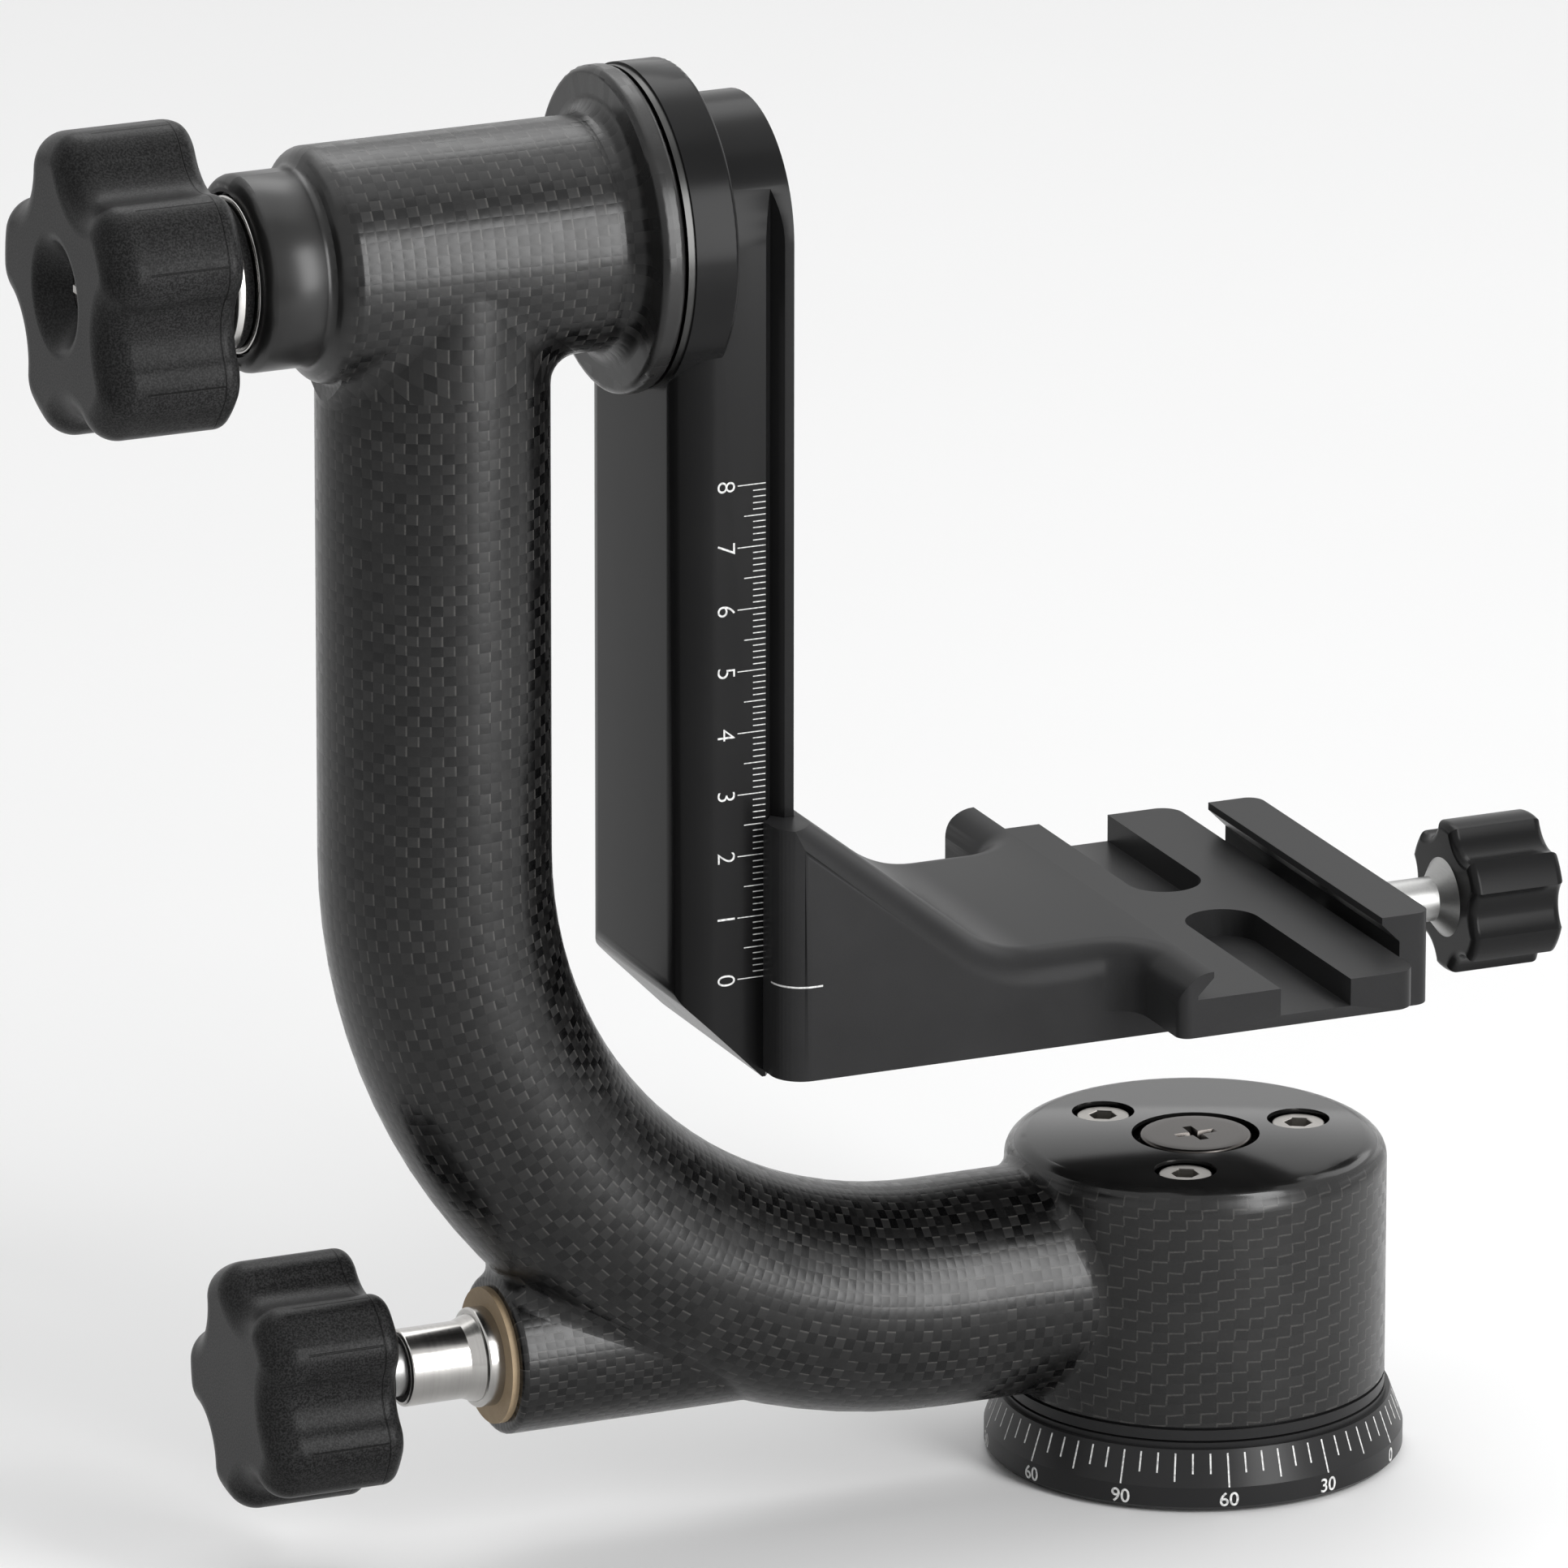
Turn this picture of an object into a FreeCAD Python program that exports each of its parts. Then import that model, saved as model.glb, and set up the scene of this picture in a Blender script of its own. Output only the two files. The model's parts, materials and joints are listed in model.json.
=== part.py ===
"""Gimbal tripod head: a hollow carbon J-arm that pans on a graduated base and carries, on its
tilt axis, a swing arm with a height scale and a sliding cradle with a quick-release clamp.

Frame: the origin is the middle of the base's underside, on the pan axis. +Z is up, and the tilt
axis runs along X above the base. Millimetres and degrees throughout.
"""
import FreeCAD, Part
import math
import operator
import os
from dataclasses import dataclass
from types import SimpleNamespace

import Sketcher
from FreeCAD import Vector

# ---------------------------------------------------------------- driving sizes
# Every number of the model stands here once. The keys become the cells' names in the sheet.
SIZES = {
    # gaps between pieces
    "fit_gap": 0.05,            # radial clearance of a shaft, pin or rod that turns or slides
    "face_gap": 0.3,            # between flat faces that move past each other
    "slide_gap": 0.12,          # dovetail of the cradle on its rail
    # J-arm
    "tilt_height": 212.5,
    "tube_offset": 130.5,       # pan axis to the axis of the upright tube
    "tube_foot": 0.4,           # underside of the lower tube above the drum's bottom
    "tube_radius": 18.2,
    "tube_wall": 2.6,
    "bend_radius": 84.0,        # of the tube's centre line
    "drum_radius": 30.4,
    "drum_height": 38.8,
    "drum_wall": 2.5,
    "drum_roof": 2.6,
    "drum_round": 3.5,
    "drum_blend": 3.0,
    "cross_radius": 18.4,
    "cross_reach": 22.5,        # upright tube's axis to the foot of the left shoulder
    "shoulder_slope": 1.5,      # how far the shoulder leans along X
    "shoulder_round": 2.5,
    "shoulder_foot_round": 1.4,
    "shoulder_root": 18.35,     # upright tube's axis to the shoulder's end above the tube
    "shoulder_root_round": 0.8,
    "neck_radius": 15.4,
    "neck_length": 11.0,
    "neck_round": 2.0,
    "neck_wall": 2.6,
    "cross_wall": 3.4,
    "flange_radius": 25.6,
    "flange_thickness": 4.0,
    "flange_reach": 31.8,       # upright tube's axis to the flange face
    "flange_round": 1.2,
    "flange_blend": 3.0,
    "tee_blend": 4.6,
    "boss_radius": 12.7,
    "boss_end": 121.0,          # pan axis to the open end of the lock boss
    "boss_root": 78.0,          # pan axis to the end of the boss inside the tube
    "boss_blend": 3.0,
    "boss_round": 1.0,
    # graduated base
    "dial_radius": 33.4,
    "dial_height": 10.5,
    "dial_edge": 0.7,
    "rim_height": 3.9,
    "bevel_radius": 31.3,
    "bevel_top": 9.6,
    "dial_step": 0.7,
    "insert_radius": 8.0,
    "thread_radius": 3.97,      # wall of the 3/8 inch, 16 turns per inch tapped hole
    "base_screw_circle": 13.5,
    "base_screw_radius": 2.0,
    "base_screw_head": 3.9,
    "base_screw_sink": 0.3,
    "base_screw_hex": 1.7,
    "base_screw_hex_depth": 1.4,
    "base_screw_count": 4,
    # pan spindle and its bearings
    "spindle_flange_radius": 19.0,
    "spindle_flange": 4.0,
    "spindle_shoulder_radius": 12.0,
    "lower_bore": 10.0,
    "lower_outer": 18.5,
    "lower_width": 9.0,
    "upper_bore": 7.5,
    "upper_outer": 14.0,
    "upper_width": 7.0,
    "race_wall": 2.1,
    "lower_ball_count": 8,
    "upper_ball_count": 8,
    "collar_height": 2.2,
    "collar_step": 0.8,
    "collar_lip": 0.5,
    "cap_head_radius": 8.84,
    "cap_head": 3.9,
    "cap_cross_reach": 3.3,     # centre to the end of each slot of the cross
    "cap_cross_half_width": 0.8,
    "cap_cross_depth": 1.6,
    "cap_shank_radius": 4.0,
    "cap_shank": 14.0,
    "cap_washer": 2.5,
    "cap_opening": 10.2,
    "race_clamp": 0.4,          # spindle stops this much short of the race it clamps
    # drum screws
    "drum_screw_circle": 18.0,
    "drum_screw_head": 4.25,
    "drum_screw_head_height": 5.0,
    "drum_screw_sink": 5.0,     # radius of the counterbore
    "drum_screw_recess": 0.6,
    "drum_screw_radius": 2.5,
    "drum_screw_length": 12.0,
    "drum_screw_hex": 2.3,
    "drum_screw_hex_depth": 2.6,
    "drum_screw_count": 3,
    # pan lock
    "shoe_radius": 6.0,
    "shoe_length": 14.0,
    "lock_travel": 0.75,        # from rest to locked
    "rod_radius": 4.4,
    "sleeve_radius": 6.15,
    "sleeve_outer_end": 137.2,
    "sleeve_inner_end": 104.0,
    "sleeve_flange_radius": 7.9,
    "sleeve_flange": 2.7,
    "sleeve_flare": 2.2,        # length of the flare before the flange
    "sleeve_flare_radius": 7.0,
    "sleeve_round": 0.5,
    "liner_radius": 10.8,
    "liner_body_radius": 9.5,
    "liner_flange": 1.2,
    "seal_radius": 5.4,
    "seal_length": 1.8,
    # lobed knobs
    "lobe_count": 5,
    "lobe_cut_ratio": 0.34,     # radius of the hollow between lobes, as a share of the knob's
    "lobe_round_ratio": 0.26,   # rounding of the lobes' corners, as a share of the knob's radius
    "knob_front_round": 5.0,
    "knob_cap_round": 2.4,
    "tilt_knob_radius": 24.8,
    "tilt_knob_waist": 19.3,
    "tilt_knob_length": 19.4,
    "tilt_knob_angle": 77.6,    # direction of the first lobe, with the lock open
    "pan_knob_radius": 20.0,
    "pan_knob_waist": 15.6,
    "pan_knob_length": 19.4,
    "pan_knob_angle": 65.6,
    "knob_cap": 3.0,
    "tilt_hub_radius": 10.6,
    "tilt_hub": 2.3,
    "pan_hub_radius": 9.6,
    "pan_hub": 1.8,
    "pan_hub_end": 141.4,       # pan axis to the inner end of the pan knob's hub
    "rod_socket": 12.0,         # depth of the rod in its knob
    "dish_radius": 9.0,
    "dish_depth": 4.6,
    "dish_round": 2.5,
    "dish_screw_head": 3.8,
    "dish_screw_head_height": 3.0,
    "dish_screw_radius": 2.5,
    "dish_screw_length": 10.0,
    "dish_screw_gap": 0.6,
    "dish_cross_reach": 2.4,
    "dish_cross_half_width": 0.55,
    "dish_cross_depth": 1.4,
    "insert_wall": 2.2,
    "shaft_end_gap": 0.6,       # tilt shaft's end to the step inside its knob
    # tilt axis
    "housing_nose": 1.6,        # neck's end to the seat of the thrust rings
    "tilt_bush_wall": 1.5,
    "tilt_bush_length": 20.0,
    "shaft_radius": 7.5,
    "shaft_thread_radius": 6.0,
    "shaft_step": 2.4,          # from the thrust seat to the shaft's step
    "tilt_bore_gap": 3.5,
    "tilt_bearing_width": 7.0,
    "tilt_bearing_outer": 14.0,
    "tilt_ball_count": 8,
    "tilt_end_gap": 0.5,        # flange face back to the housing and its bearing
    "shaft_collar_radius": 9.2,
    "shaft_flange_radius": 13.0,
    "shaft_flange": 5.0,
    "thrust_radius": 12.3,
    "thrust_ring": 1.7,
    "cage_radius": 11.4,
    "cage_thickness": 1.5,
    # swing arm
    "friction_ring": 1.2,
    "friction_ring_radius": 25.2,
    "friction_ring_bore": 14.5,
    "hub_radius": 25.6,
    "hub_thickness": 7.3,
    "hub_round": 0.8,
    "swing_depth": 18.9,
    "swing_half_width": 19.5,
    "swing_bottom": 78.5,
    "swing_bevel": 13.6,
    "swing_round": 6.0,
    "groove_back": 3.15,        # rail face back to the groove's middle
    "groove_half_width": 1.6,
    "groove_depth": 2.1,
    "shaft_screw_circle": 9.0,
    "shaft_screw_radius": 2.5,
    "shaft_screw_head": 4.6,
    "shaft_screw_sink": 0.3,
    "shaft_screw_hex": 2.0,
    "shaft_screw_hex_depth": 1.8,
    "shaft_screw_count": 4,
    # cradle
    "cradle_half_width": 27.7,
    "cradle_bottom": 79.6,
    "cradle_top": 120.4,
    "cradle_round": 5.0,
    "jaw_hook": 5.2,            # rail face back to the ends of the two hooks
    "wall_top_depth": 1.2,      # rail face to the top of the slope
    "slope_foot": 33.2,         # rail face to the foot of the slope
    "slope_round": 18.0,
    "slope_run_on": 12.0,       # how far the slope's blank runs past the hooks before it is cut off
    "platform_top": 95.0,
    "platform_round": 5.5,
    "wing_bottom": 84.5,
    "wing_half_length": 45.6,
    "wing_left": 24.0,          # pan axis to the left wall of the wings
    "wing_root_round": 5.5,
    "wing_tip_round": 2.0,
    "wing_corner_round": 3.5,   # at the wings' ends beside the moving jaw
    "seat_drop": 4.3,
    "seat_right": 16.9,
    "lip_left": 18.3,           # pan axis to the fixed lip
    "lip_height": 1.0,
    "dovetail_reach": 2.7,
    "channel_left": 6.8,
    "channel_right": 5.25,
    "channel_drop": 4.4,
    "channel_web": 5.3,         # half of the web between the two channels
    # cradle lock
    "lock_jaw_depth": 19.0,     # hook end to the jaw's inner end
    "lock_jaw_margin": 4.0,
    "lock_screw_back": 7.0,     # rail face to the lock screw
    "lock_screw_height": 100.0,
    "lock_screw_radius": 2.5,
    "lock_screw_reach": 22.0,   # of the screw inside the cradle
    "lock_knob_radius": 10.0,
    "lock_knob_length": 13.0,
    "lock_knob_stand": 2.4,
    "lock_shoulder_radius": 4.2,
    "lock_release": 1.0,
    # quick-release jaw and its knob
    "release_gap": 3.0,         # seat block to the moving jaw
    "release_jaw": 5.6,
    "release_lip": 16.85,
    "release_top": 95.2,
    "release_bottom": 80.0,
    "release_half_length": 32.4,
    "release_round": 2.6,
    "guide_pin_radius": 2.0,
    "guide_pin_spread": 22.0,
    "guide_pin_length": 9.4,
    "guide_bore": 9.6,
    "release_drop": 9.4,        # platform's top down to the clamp's screw
    "release_screw_radius": 2.6,
    "release_screw_tip": 2.0,
    "release_shaft_radius": 3.6,
    "release_bore": 6.0,        # depth of the bore past the screw's tip
    "release_knob_left": 43.0,
    "release_knob_length": 16.0,
    "release_knob_radius": 12.3,
    "release_hub_radius": 6.4,
    "release_hub": 2.2,
    "flute_count": 6,
    "flute_radius": 5.2,
    "flute_offset": 15.4,
    "flute_round": 1.6,
    "release_knob_round": 1.4,
}

FAILED = {"Invalid", "Error"}
TOUCH = 0.01                    # edges closer than this to a place are at that place
NEAR = 0.1                      # margin round a place when edges are looked for
SEAM_WIDTH = 3.0                # narrower edges are seams of a surface, not its borders
OVERCUT = 1.0                   # how far a cutting outline runs past what it cuts
SIGNS = {"+": operator.add, "-": operator.sub, "*": operator.mul, "/": operator.truediv}


class Size:
    """A number that carries the sheet formula it is worked out by."""

    def __init__(self, value, formula=None):
        self.value = float(value)
        self.formula = formula or f"({self.value!r})"

    @classmethod
    def of(cls, number):
        """The number as a Size, whether it is one already or not."""
        return number if isinstance(number, cls) else cls(number)

    def _join(self, sign, other):
        other = Size.of(other)
        return Size(SIGNS[sign](self.value, other.value), f"({self.formula} {sign} {other.formula})")

    def __add__(self, other):
        return self._join("+", other)

    def __radd__(self, other):
        return Size.of(other)._join("+", self)

    def __sub__(self, other):
        return self._join("-", other)

    def __rsub__(self, other):
        return Size.of(other)._join("-", self)

    def __mul__(self, other):
        return self._join("*", other)

    def __rmul__(self, other):
        return Size.of(other)._join("*", self)

    def __truediv__(self, other):
        return self._join("/", other)

    def __neg__(self):
        return Size(-self.value, f"(-{self.formula})")

    def __float__(self):
        return self.value


def cosine(angle):
    """Cosine of an angle in degrees."""
    angle = Size.of(angle)
    return Size(math.cos(math.radians(angle.value)), f"cos({angle.formula} * 1 deg)")


def sine(angle):
    """Sine of an angle in degrees."""
    angle = Size.of(angle)
    return Size(math.sin(math.radians(angle.value)), f"sin({angle.formula} * 1 deg)")


def write_sheet(document):
    """Put the driving sizes into the document's sheet and give them back as named Sizes."""
    sheet = document.addObject("Spreadsheet::Sheet", "Sizes")
    for row, (name, number) in enumerate(SIZES.items(), start=1):
        sheet.set(f"A{row}", name)
        sheet.set(f"B{row}", str(number))
        sheet.setAlias(f"B{row}", name)
    document.recompute()
    return SimpleNamespace(**{name: Size(number, f"Sizes.{name}") for name, number in SIZES.items()})


DOCUMENT = FreeCAD.newDocument("GimbalHead")
S = write_sheet(DOCUMENT)

# ---------------------------------------------------------------- places worked out from the sizes
TUBE_X = -S.tube_offset
COLLAR_BOTTOM = S.dial_height + S.face_gap
DRUM_BOTTOM = COLLAR_BOTTOM + S.collar_height
TUBE_LOW = DRUM_BOTTOM + S.tube_foot + S.tube_radius
DRUM_TOP = DRUM_BOTTOM + S.drum_height
ROOF_BOTTOM = DRUM_TOP - S.drum_roof
CORE_RADIUS = S.drum_radius - S.drum_wall
FLANGE_SEAT = S.dial_height - S.spindle_flange
LOWER_TOP = DRUM_BOTTOM + S.lower_width
UPPER_TOP = DRUM_TOP - S.cap_head - S.cap_washer
UPPER_BOTTOM = UPPER_TOP - S.upper_width

CROSS_LEFT = TUBE_X - S.cross_reach
NECK_LEFT = CROSS_LEFT - S.neck_length
FLANGE_FACE = TUBE_X + S.flange_reach
CROSS_BORE = S.cross_radius - S.cross_wall
NECK_BORE = S.neck_radius - S.neck_wall
THRUST_SEAT = NECK_LEFT + S.housing_nose
HOUSING_STEP = CROSS_LEFT + S.cross_wall
HOUSING_RIGHT = FLANGE_FACE - S.tilt_end_gap
TILT_BEARING_LEFT = HOUSING_RIGHT - S.tilt_bearing_width
SEAT_RING_LEFT = THRUST_SEAT - S.thrust_ring
CAGE_RIGHT = SEAT_RING_LEFT - S.face_gap
CAGE_LEFT = CAGE_RIGHT - S.cage_thickness
WASHER_LEFT = CAGE_LEFT - S.thrust_ring
TILT_HUB_RIGHT = WASHER_LEFT - S.face_gap
TILT_CAP_RIGHT = TILT_HUB_RIGHT - S.tilt_hub
TILT_CAP_LEFT = TILT_CAP_RIGHT - S.knob_cap
TILT_KNOB_LEFT = TILT_CAP_LEFT - S.tilt_knob_length
DISH_BOTTOM = TILT_KNOB_LEFT + S.dish_depth
SHAFT_LEFT = DISH_BOTTOM + S.dish_screw_gap + S.dish_screw_head_height

PAN_CAP_RIGHT = -S.pan_hub_end - S.pan_hub
PAN_CAP_LEFT = PAN_CAP_RIGHT - S.knob_cap
PAN_KNOB_LEFT = PAN_CAP_LEFT - S.pan_knob_length

HUB_LEFT = FLANGE_FACE + S.face_gap + S.friction_ring
RAIL_FACE = HUB_LEFT + S.swing_depth
GROOVE_X = RAIL_FACE - S.groove_back
HOOK_END = RAIL_FACE - S.jaw_hook
CRADLE_WALL = RAIL_FACE + S.slide_gap
WALL_TOP_RIGHT = RAIL_FACE + S.wall_top_depth
SLOPE_RISE = (S.cradle_top - S.platform_top) / (S.slope_foot - S.wall_top_depth)
BLANK_LEFT = HOOK_END - S.slope_run_on
BLANK_TOP = S.platform_top + (RAIL_FACE + S.slope_foot - BLANK_LEFT) * SLOPE_RISE
SEAT_LEVEL = S.platform_top - S.seat_drop
RELEASE_HEIGHT = S.platform_top - S.release_drop
DOVETAIL_LOW = S.platform_top - S.lip_height - S.dovetail_reach
JAW_LEFT = S.seat_right + S.release_gap
JAW_RIGHT = JAW_LEFT + S.release_jaw
LOCK_X = RAIL_FACE + S.lock_screw_back


# ---------------------------------------------------------------- drawing and features
@dataclass
class Circle:
    """A circle by its centre and radius."""

    x: object
    y: object
    radius: object

    def draw(self, sketch):
        """Add the circle with its three dimensions."""
        centre = Vector(float(Size.of(self.x)), float(Size.of(self.y)), 0)
        edge = sketch.addGeometry(Part.Circle(centre, Vector(0, 0, 1), float(Size.of(self.radius))))
        hold_point(sketch, edge, 3, self.x, self.y)
        dimension(sketch, self.radius, "Radius", edge)


@dataclass
class Polygon:
    """A closed outline through (x, y) corners; a third value in a corner is the radius of its rounding."""

    points: list

    def draw(self, sketch):
        """Add the straight edges and roundings, join them and hold each corner by two dimensions."""
        corners = [Vector(float(Size.of(point[0])), float(Size.of(point[1])), 0) for point in self.points]
        radii = [point[2] if len(point) > 2 else None for point in self.points]
        before = corners[-1:] + corners[:-1]
        after = corners[1:] + corners[:1]
        ends = [rounding_ends(*place) for place in zip(before, corners, after, radii)]
        lines = sketch.addGeometry([Part.LineSegment(leaving, arriving) for (_, leaving), (arriving, _)
                                    in zip(ends, ends[1:] + ends[:1])])
        for index, (corner, radius) in enumerate(zip(self.points, radii)):
            if radius is None:
                sketch.addConstraint(Sketcher.Constraint("Coincident", lines[index - 1], 2, lines[index], 1))
                hold_point(sketch, lines[index], 1, *corner)
            else:
                round_corner(sketch, lines[index - 1], lines[index], corner, corners[index], ends[index])


def rounding_ends(before, corner, after, radius):
    """Where the edges before and after a corner end, once the corner is rounded to a radius."""
    if radius is None:
        return corner, corner
    arriving, leaving = (before - corner).normalize(), (after - corner).normalize()
    reach = float(radius) / math.tan(arriving.getAngle(leaving) / 2)
    return corner + arriving * reach, corner + leaving * reach


def round_corner(sketch, line, following, corner, place, ends):
    """Add the arc between two lines, tangent to both, with its corner held as a construction point."""
    x, y, radius = corner
    start, end = ends
    inward = ((start + end) / 2 - place).normalize()
    half_chord = (end - start).Length / 2
    centre = start + (end - start) / 2 + inward * math.sqrt(float(radius) ** 2 - half_chord ** 2)
    arc = sketch.addGeometry(Part.Arc(start, centre - inward * float(radius), end))
    point = sketch.addGeometry(Part.Point(place), True)
    hold_point(sketch, point, 1, x, y)
    starts_first = sketch.getPoint(arc, 1).distanceToPoint(start) < sketch.getPoint(arc, 1).distanceToPoint(end)
    first, last = (1, 2) if starts_first else (2, 1)
    sketch.addConstraint(Sketcher.Constraint("Tangent", line, 2, arc, first))
    sketch.addConstraint(Sketcher.Constraint("Tangent", arc, last, following, 1))
    sketch.addConstraint(Sketcher.Constraint("PointOnObject", point, 1, line))
    sketch.addConstraint(Sketcher.Constraint("PointOnObject", point, 1, following))
    dimension(sketch, radius, "Radius", arc)


def box(x_low, x_high, y_low, y_high):
    """A rectangle between two pairs of values."""
    return Polygon([(x_low, y_low), (x_high, y_low), (x_high, y_high), (x_low, y_high)])


def dimension(sketch, size, kind, *where):
    """Add one dimension to a sketch and tie it to the size's formula."""
    size = Size.of(size)
    index = sketch.addConstraint(Sketcher.Constraint(kind, *where, size.value))
    sketch.setExpression(f"Constraints[{index}]", size.formula)


def hold_point(sketch, edge, end, x, y):
    """Hold one point of an edge at x and y from the sketch's origin."""
    dimension(sketch, x, "DistanceX", edge, end)
    dimension(sketch, y, "DistanceY", edge, end)


def tie(feature, path, size):
    """Tie a property to a size's formula."""
    feature.setExpression(path, Size.of(size).formula)


def flat_edges(axis, place, radius=None):
    """Test for edges that lie in one plane across an axis, and on a circle of a given radius."""
    place = float(Size.of(place))

    def passes(edge):
        bounds = edge.BoundBox
        low, high = {"X": (bounds.XMin, bounds.XMax), "Y": (bounds.YMin, bounds.YMax),
                     "Z": (bounds.ZMin, bounds.ZMax)}[axis]
        if abs(low - place) > TOUCH or abs(high - place) > TOUCH:
            return False
        if radius is None:
            return True
        return hasattr(edge.Curve, "Radius") and abs(edge.Curve.Radius - float(radius)) < TOUCH
    return passes


def edges_within(x=None, y=None, z=None, wide=0):
    """Test for edges whose bounds lie within the low and high values of each axis, at least so wide in Y."""
    limits = [tuple(float(Size.of(value)) for value in span) if span else None for span in (x, y, z)]

    def passes(edge):
        bounds = edge.BoundBox
        spans = ((bounds.XMin, bounds.XMax), (bounds.YMin, bounds.YMax), (bounds.ZMin, bounds.ZMax))
        if bounds.YMax - bounds.YMin < wide:
            return False
        return all(limit is None or (limit[0] <= low and high <= limit[1])
                   for limit, (low, high) in zip(limits, spans))
    return passes


def near(place):
    """A narrow span round a place, for edges_within."""
    return place - NEAR, place + NEAR


class Piece:
    """One piece of the head: a PartDesign body whose Placement puts its own origin in the frame."""

    made = []
    planes = {"X": "YZ_Plane", "Y": "XZ_Plane", "Z": "XY_Plane"}

    def __init__(self, name, at=(0, 0, 0)):
        self.name = name
        self.body = DOCUMENT.addObject("PartDesign::Body", name)
        self.body.Label = name
        for axis, place in zip("xyz", at):
            tie(self.body, f"Placement.Base.{axis}", place)
        Piece.made.append(self)

    def origin(self, role):
        """The body's own origin plane or axis with a role such as XY_Plane or X_Axis."""
        return next(item for item in self.body.Origin.OriginFeatures if item.Role == role)

    def sketch(self, plane, shapes, shift=(0, 0), lift=0):
        """A sketch on an origin plane, moved in that plane and lifted off it."""
        sketch = self.body.newObject("Sketcher::SketchObject", f"{self.name}_sketch")
        sketch.AttachmentSupport = (self.origin(plane), [""])
        sketch.MapMode = "FlatFace"
        for axis, place in zip("xyz", (*shift, lift)):
            tie(sketch, f"AttachmentOffset.Base.{axis}", place)
        for shape in shapes:
            shape.draw(sketch)
        return sketch

    def feature(self, kind, **settings):
        """A PartDesign feature, which becomes the body's tip."""
        feature = self.body.newObject(f"PartDesign::{kind}", f"{self.name}_{kind.lower()}")
        for name, value in settings.items():
            setattr(feature, name, value)
        self.body.Tip = feature
        return self.settled(feature)

    def settled(self, feature):
        """The feature after a recompute, once it is sure to have worked."""
        DOCUMENT.recompute()
        if FAILED & set(feature.State):
            raise RuntimeError(f"{feature.Label}: {feature.State}")
        return feature

    def prism(self, axis, start, end, *shapes, cut=False):
        """Shapes carried straight along an axis from start to end, added or cut away.

        Shapes across X are drawn as (y, z), across Y as (x, z) and across Z as (x, y).
        """
        start, end = Size.of(start), Size.of(end)
        lift = -end if axis == "Y" else start
        sketch = self.sketch(Piece.planes[axis], shapes, lift=lift)
        if cut:
            feature = self.feature("Pocket", Profile=sketch, Reversed=True)
        else:
            feature = self.feature("Pad", Profile=sketch)
        tie(feature, "Length", end - start)
        return self.settled(feature)

    def turned(self, axis, section, centre=(0, 0), cut=False):
        """A half section of (along, radius) points turned about an axis, added or cut away.

        The centre is the axis's place in the plane across it, as (y, z) for X and (x, y) for Z.
        """
        first, second = centre
        if axis == "X":
            shift, lift, plane, reference = (0, second), -Size.of(first), "XZ_Plane", "H_Axis"
            points = section
        elif axis == "Y":
            shift, lift, plane, reference = (0, second), first, "YZ_Plane", "H_Axis"
            points = section
        else:
            shift, lift, plane, reference = (first, 0), -Size.of(second), "XZ_Plane", "V_Axis"
            points = [(point[1], point[0], *point[2:]) for point in section]
        sketch = self.sketch(plane, [Polygon(points)], shift, lift)
        kind = "Groove" if cut else "Revolution"
        return self.feature(kind, Profile=sketch, ReferenceAxis=(sketch, [reference]))

    def repeated(self, features, axis, count):
        """Features repeated evenly round the body's own axis."""
        pattern = self.feature("PolarPattern", Originals=features, Angle=360,
                               Axis=(self.origin(f"{axis}_Axis"), [""]))
        tie(pattern, "Occurrences", count)
        return self.settled(pattern)

    def mirrored(self, features, plane):
        """Features mirrored across one of the body's own planes."""
        return self.feature("Mirrored", Originals=features, MirrorPlane=(self.origin(plane), [""]))

    def rounded(self, radius, *tests):
        """Every edge that passes one of the tests rounded to a radius."""
        feature = self.feature("Fillet", Base=(self.body.Tip, self.edges(tests)), Radius=float(radius))
        tie(feature, "Radius", radius)
        return self.settled(feature)

    def bevelled(self, size, *tests):
        """Every edge that passes one of the tests cut off at 45 degrees."""
        feature = self.feature("Chamfer", Base=(self.body.Tip, self.edges(tests)), Size=float(size))
        tie(feature, "Size", size)
        return self.settled(feature)

    def edges(self, tests):
        """Names of the tip's edges that pass one of the tests."""
        numbered = enumerate(self.body.Tip.Shape.Edges, start=1)
        names = [f"Edge{number}" for number, edge in numbered if any(test(edge) for test in tests)]
        if not names:
            raise ValueError(f"{self.name}: no edge passes the test")
        return names


def ring(name, axis, start, end, inner, outer, at=(0, 0, 0)):
    """A plain ring about its own axis."""
    piece = Piece(name, at)
    piece.turned(axis, [(start, inner), (end, inner), (end, outer), (start, outer)])
    return piece


def ball_row(name, axis, middle, inner, outer, count, at=(0, 0, 0)):
    """Balls standing round an axis in the space between two races."""
    piece = Piece(name, at)
    inner_face, outer_face = inner + S.race_wall, outer - S.race_wall
    circle = (inner_face + outer_face) / 2
    radius = (outer_face - inner_face) / 2 - S.fit_gap
    centre = (0, circle) if axis == "X" else (circle, 0)
    shift = (middle, circle) if axis == "X" else (circle, middle)
    plane, reference = ("XZ_Plane", "H_Axis")
    sketch = piece.sketch(plane, [], shift)
    half_disc(sketch, radius)
    ball = piece.feature("Revolution", Profile=sketch, ReferenceAxis=(sketch, [reference]))
    piece.repeated([ball], axis, count)
    return piece


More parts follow.
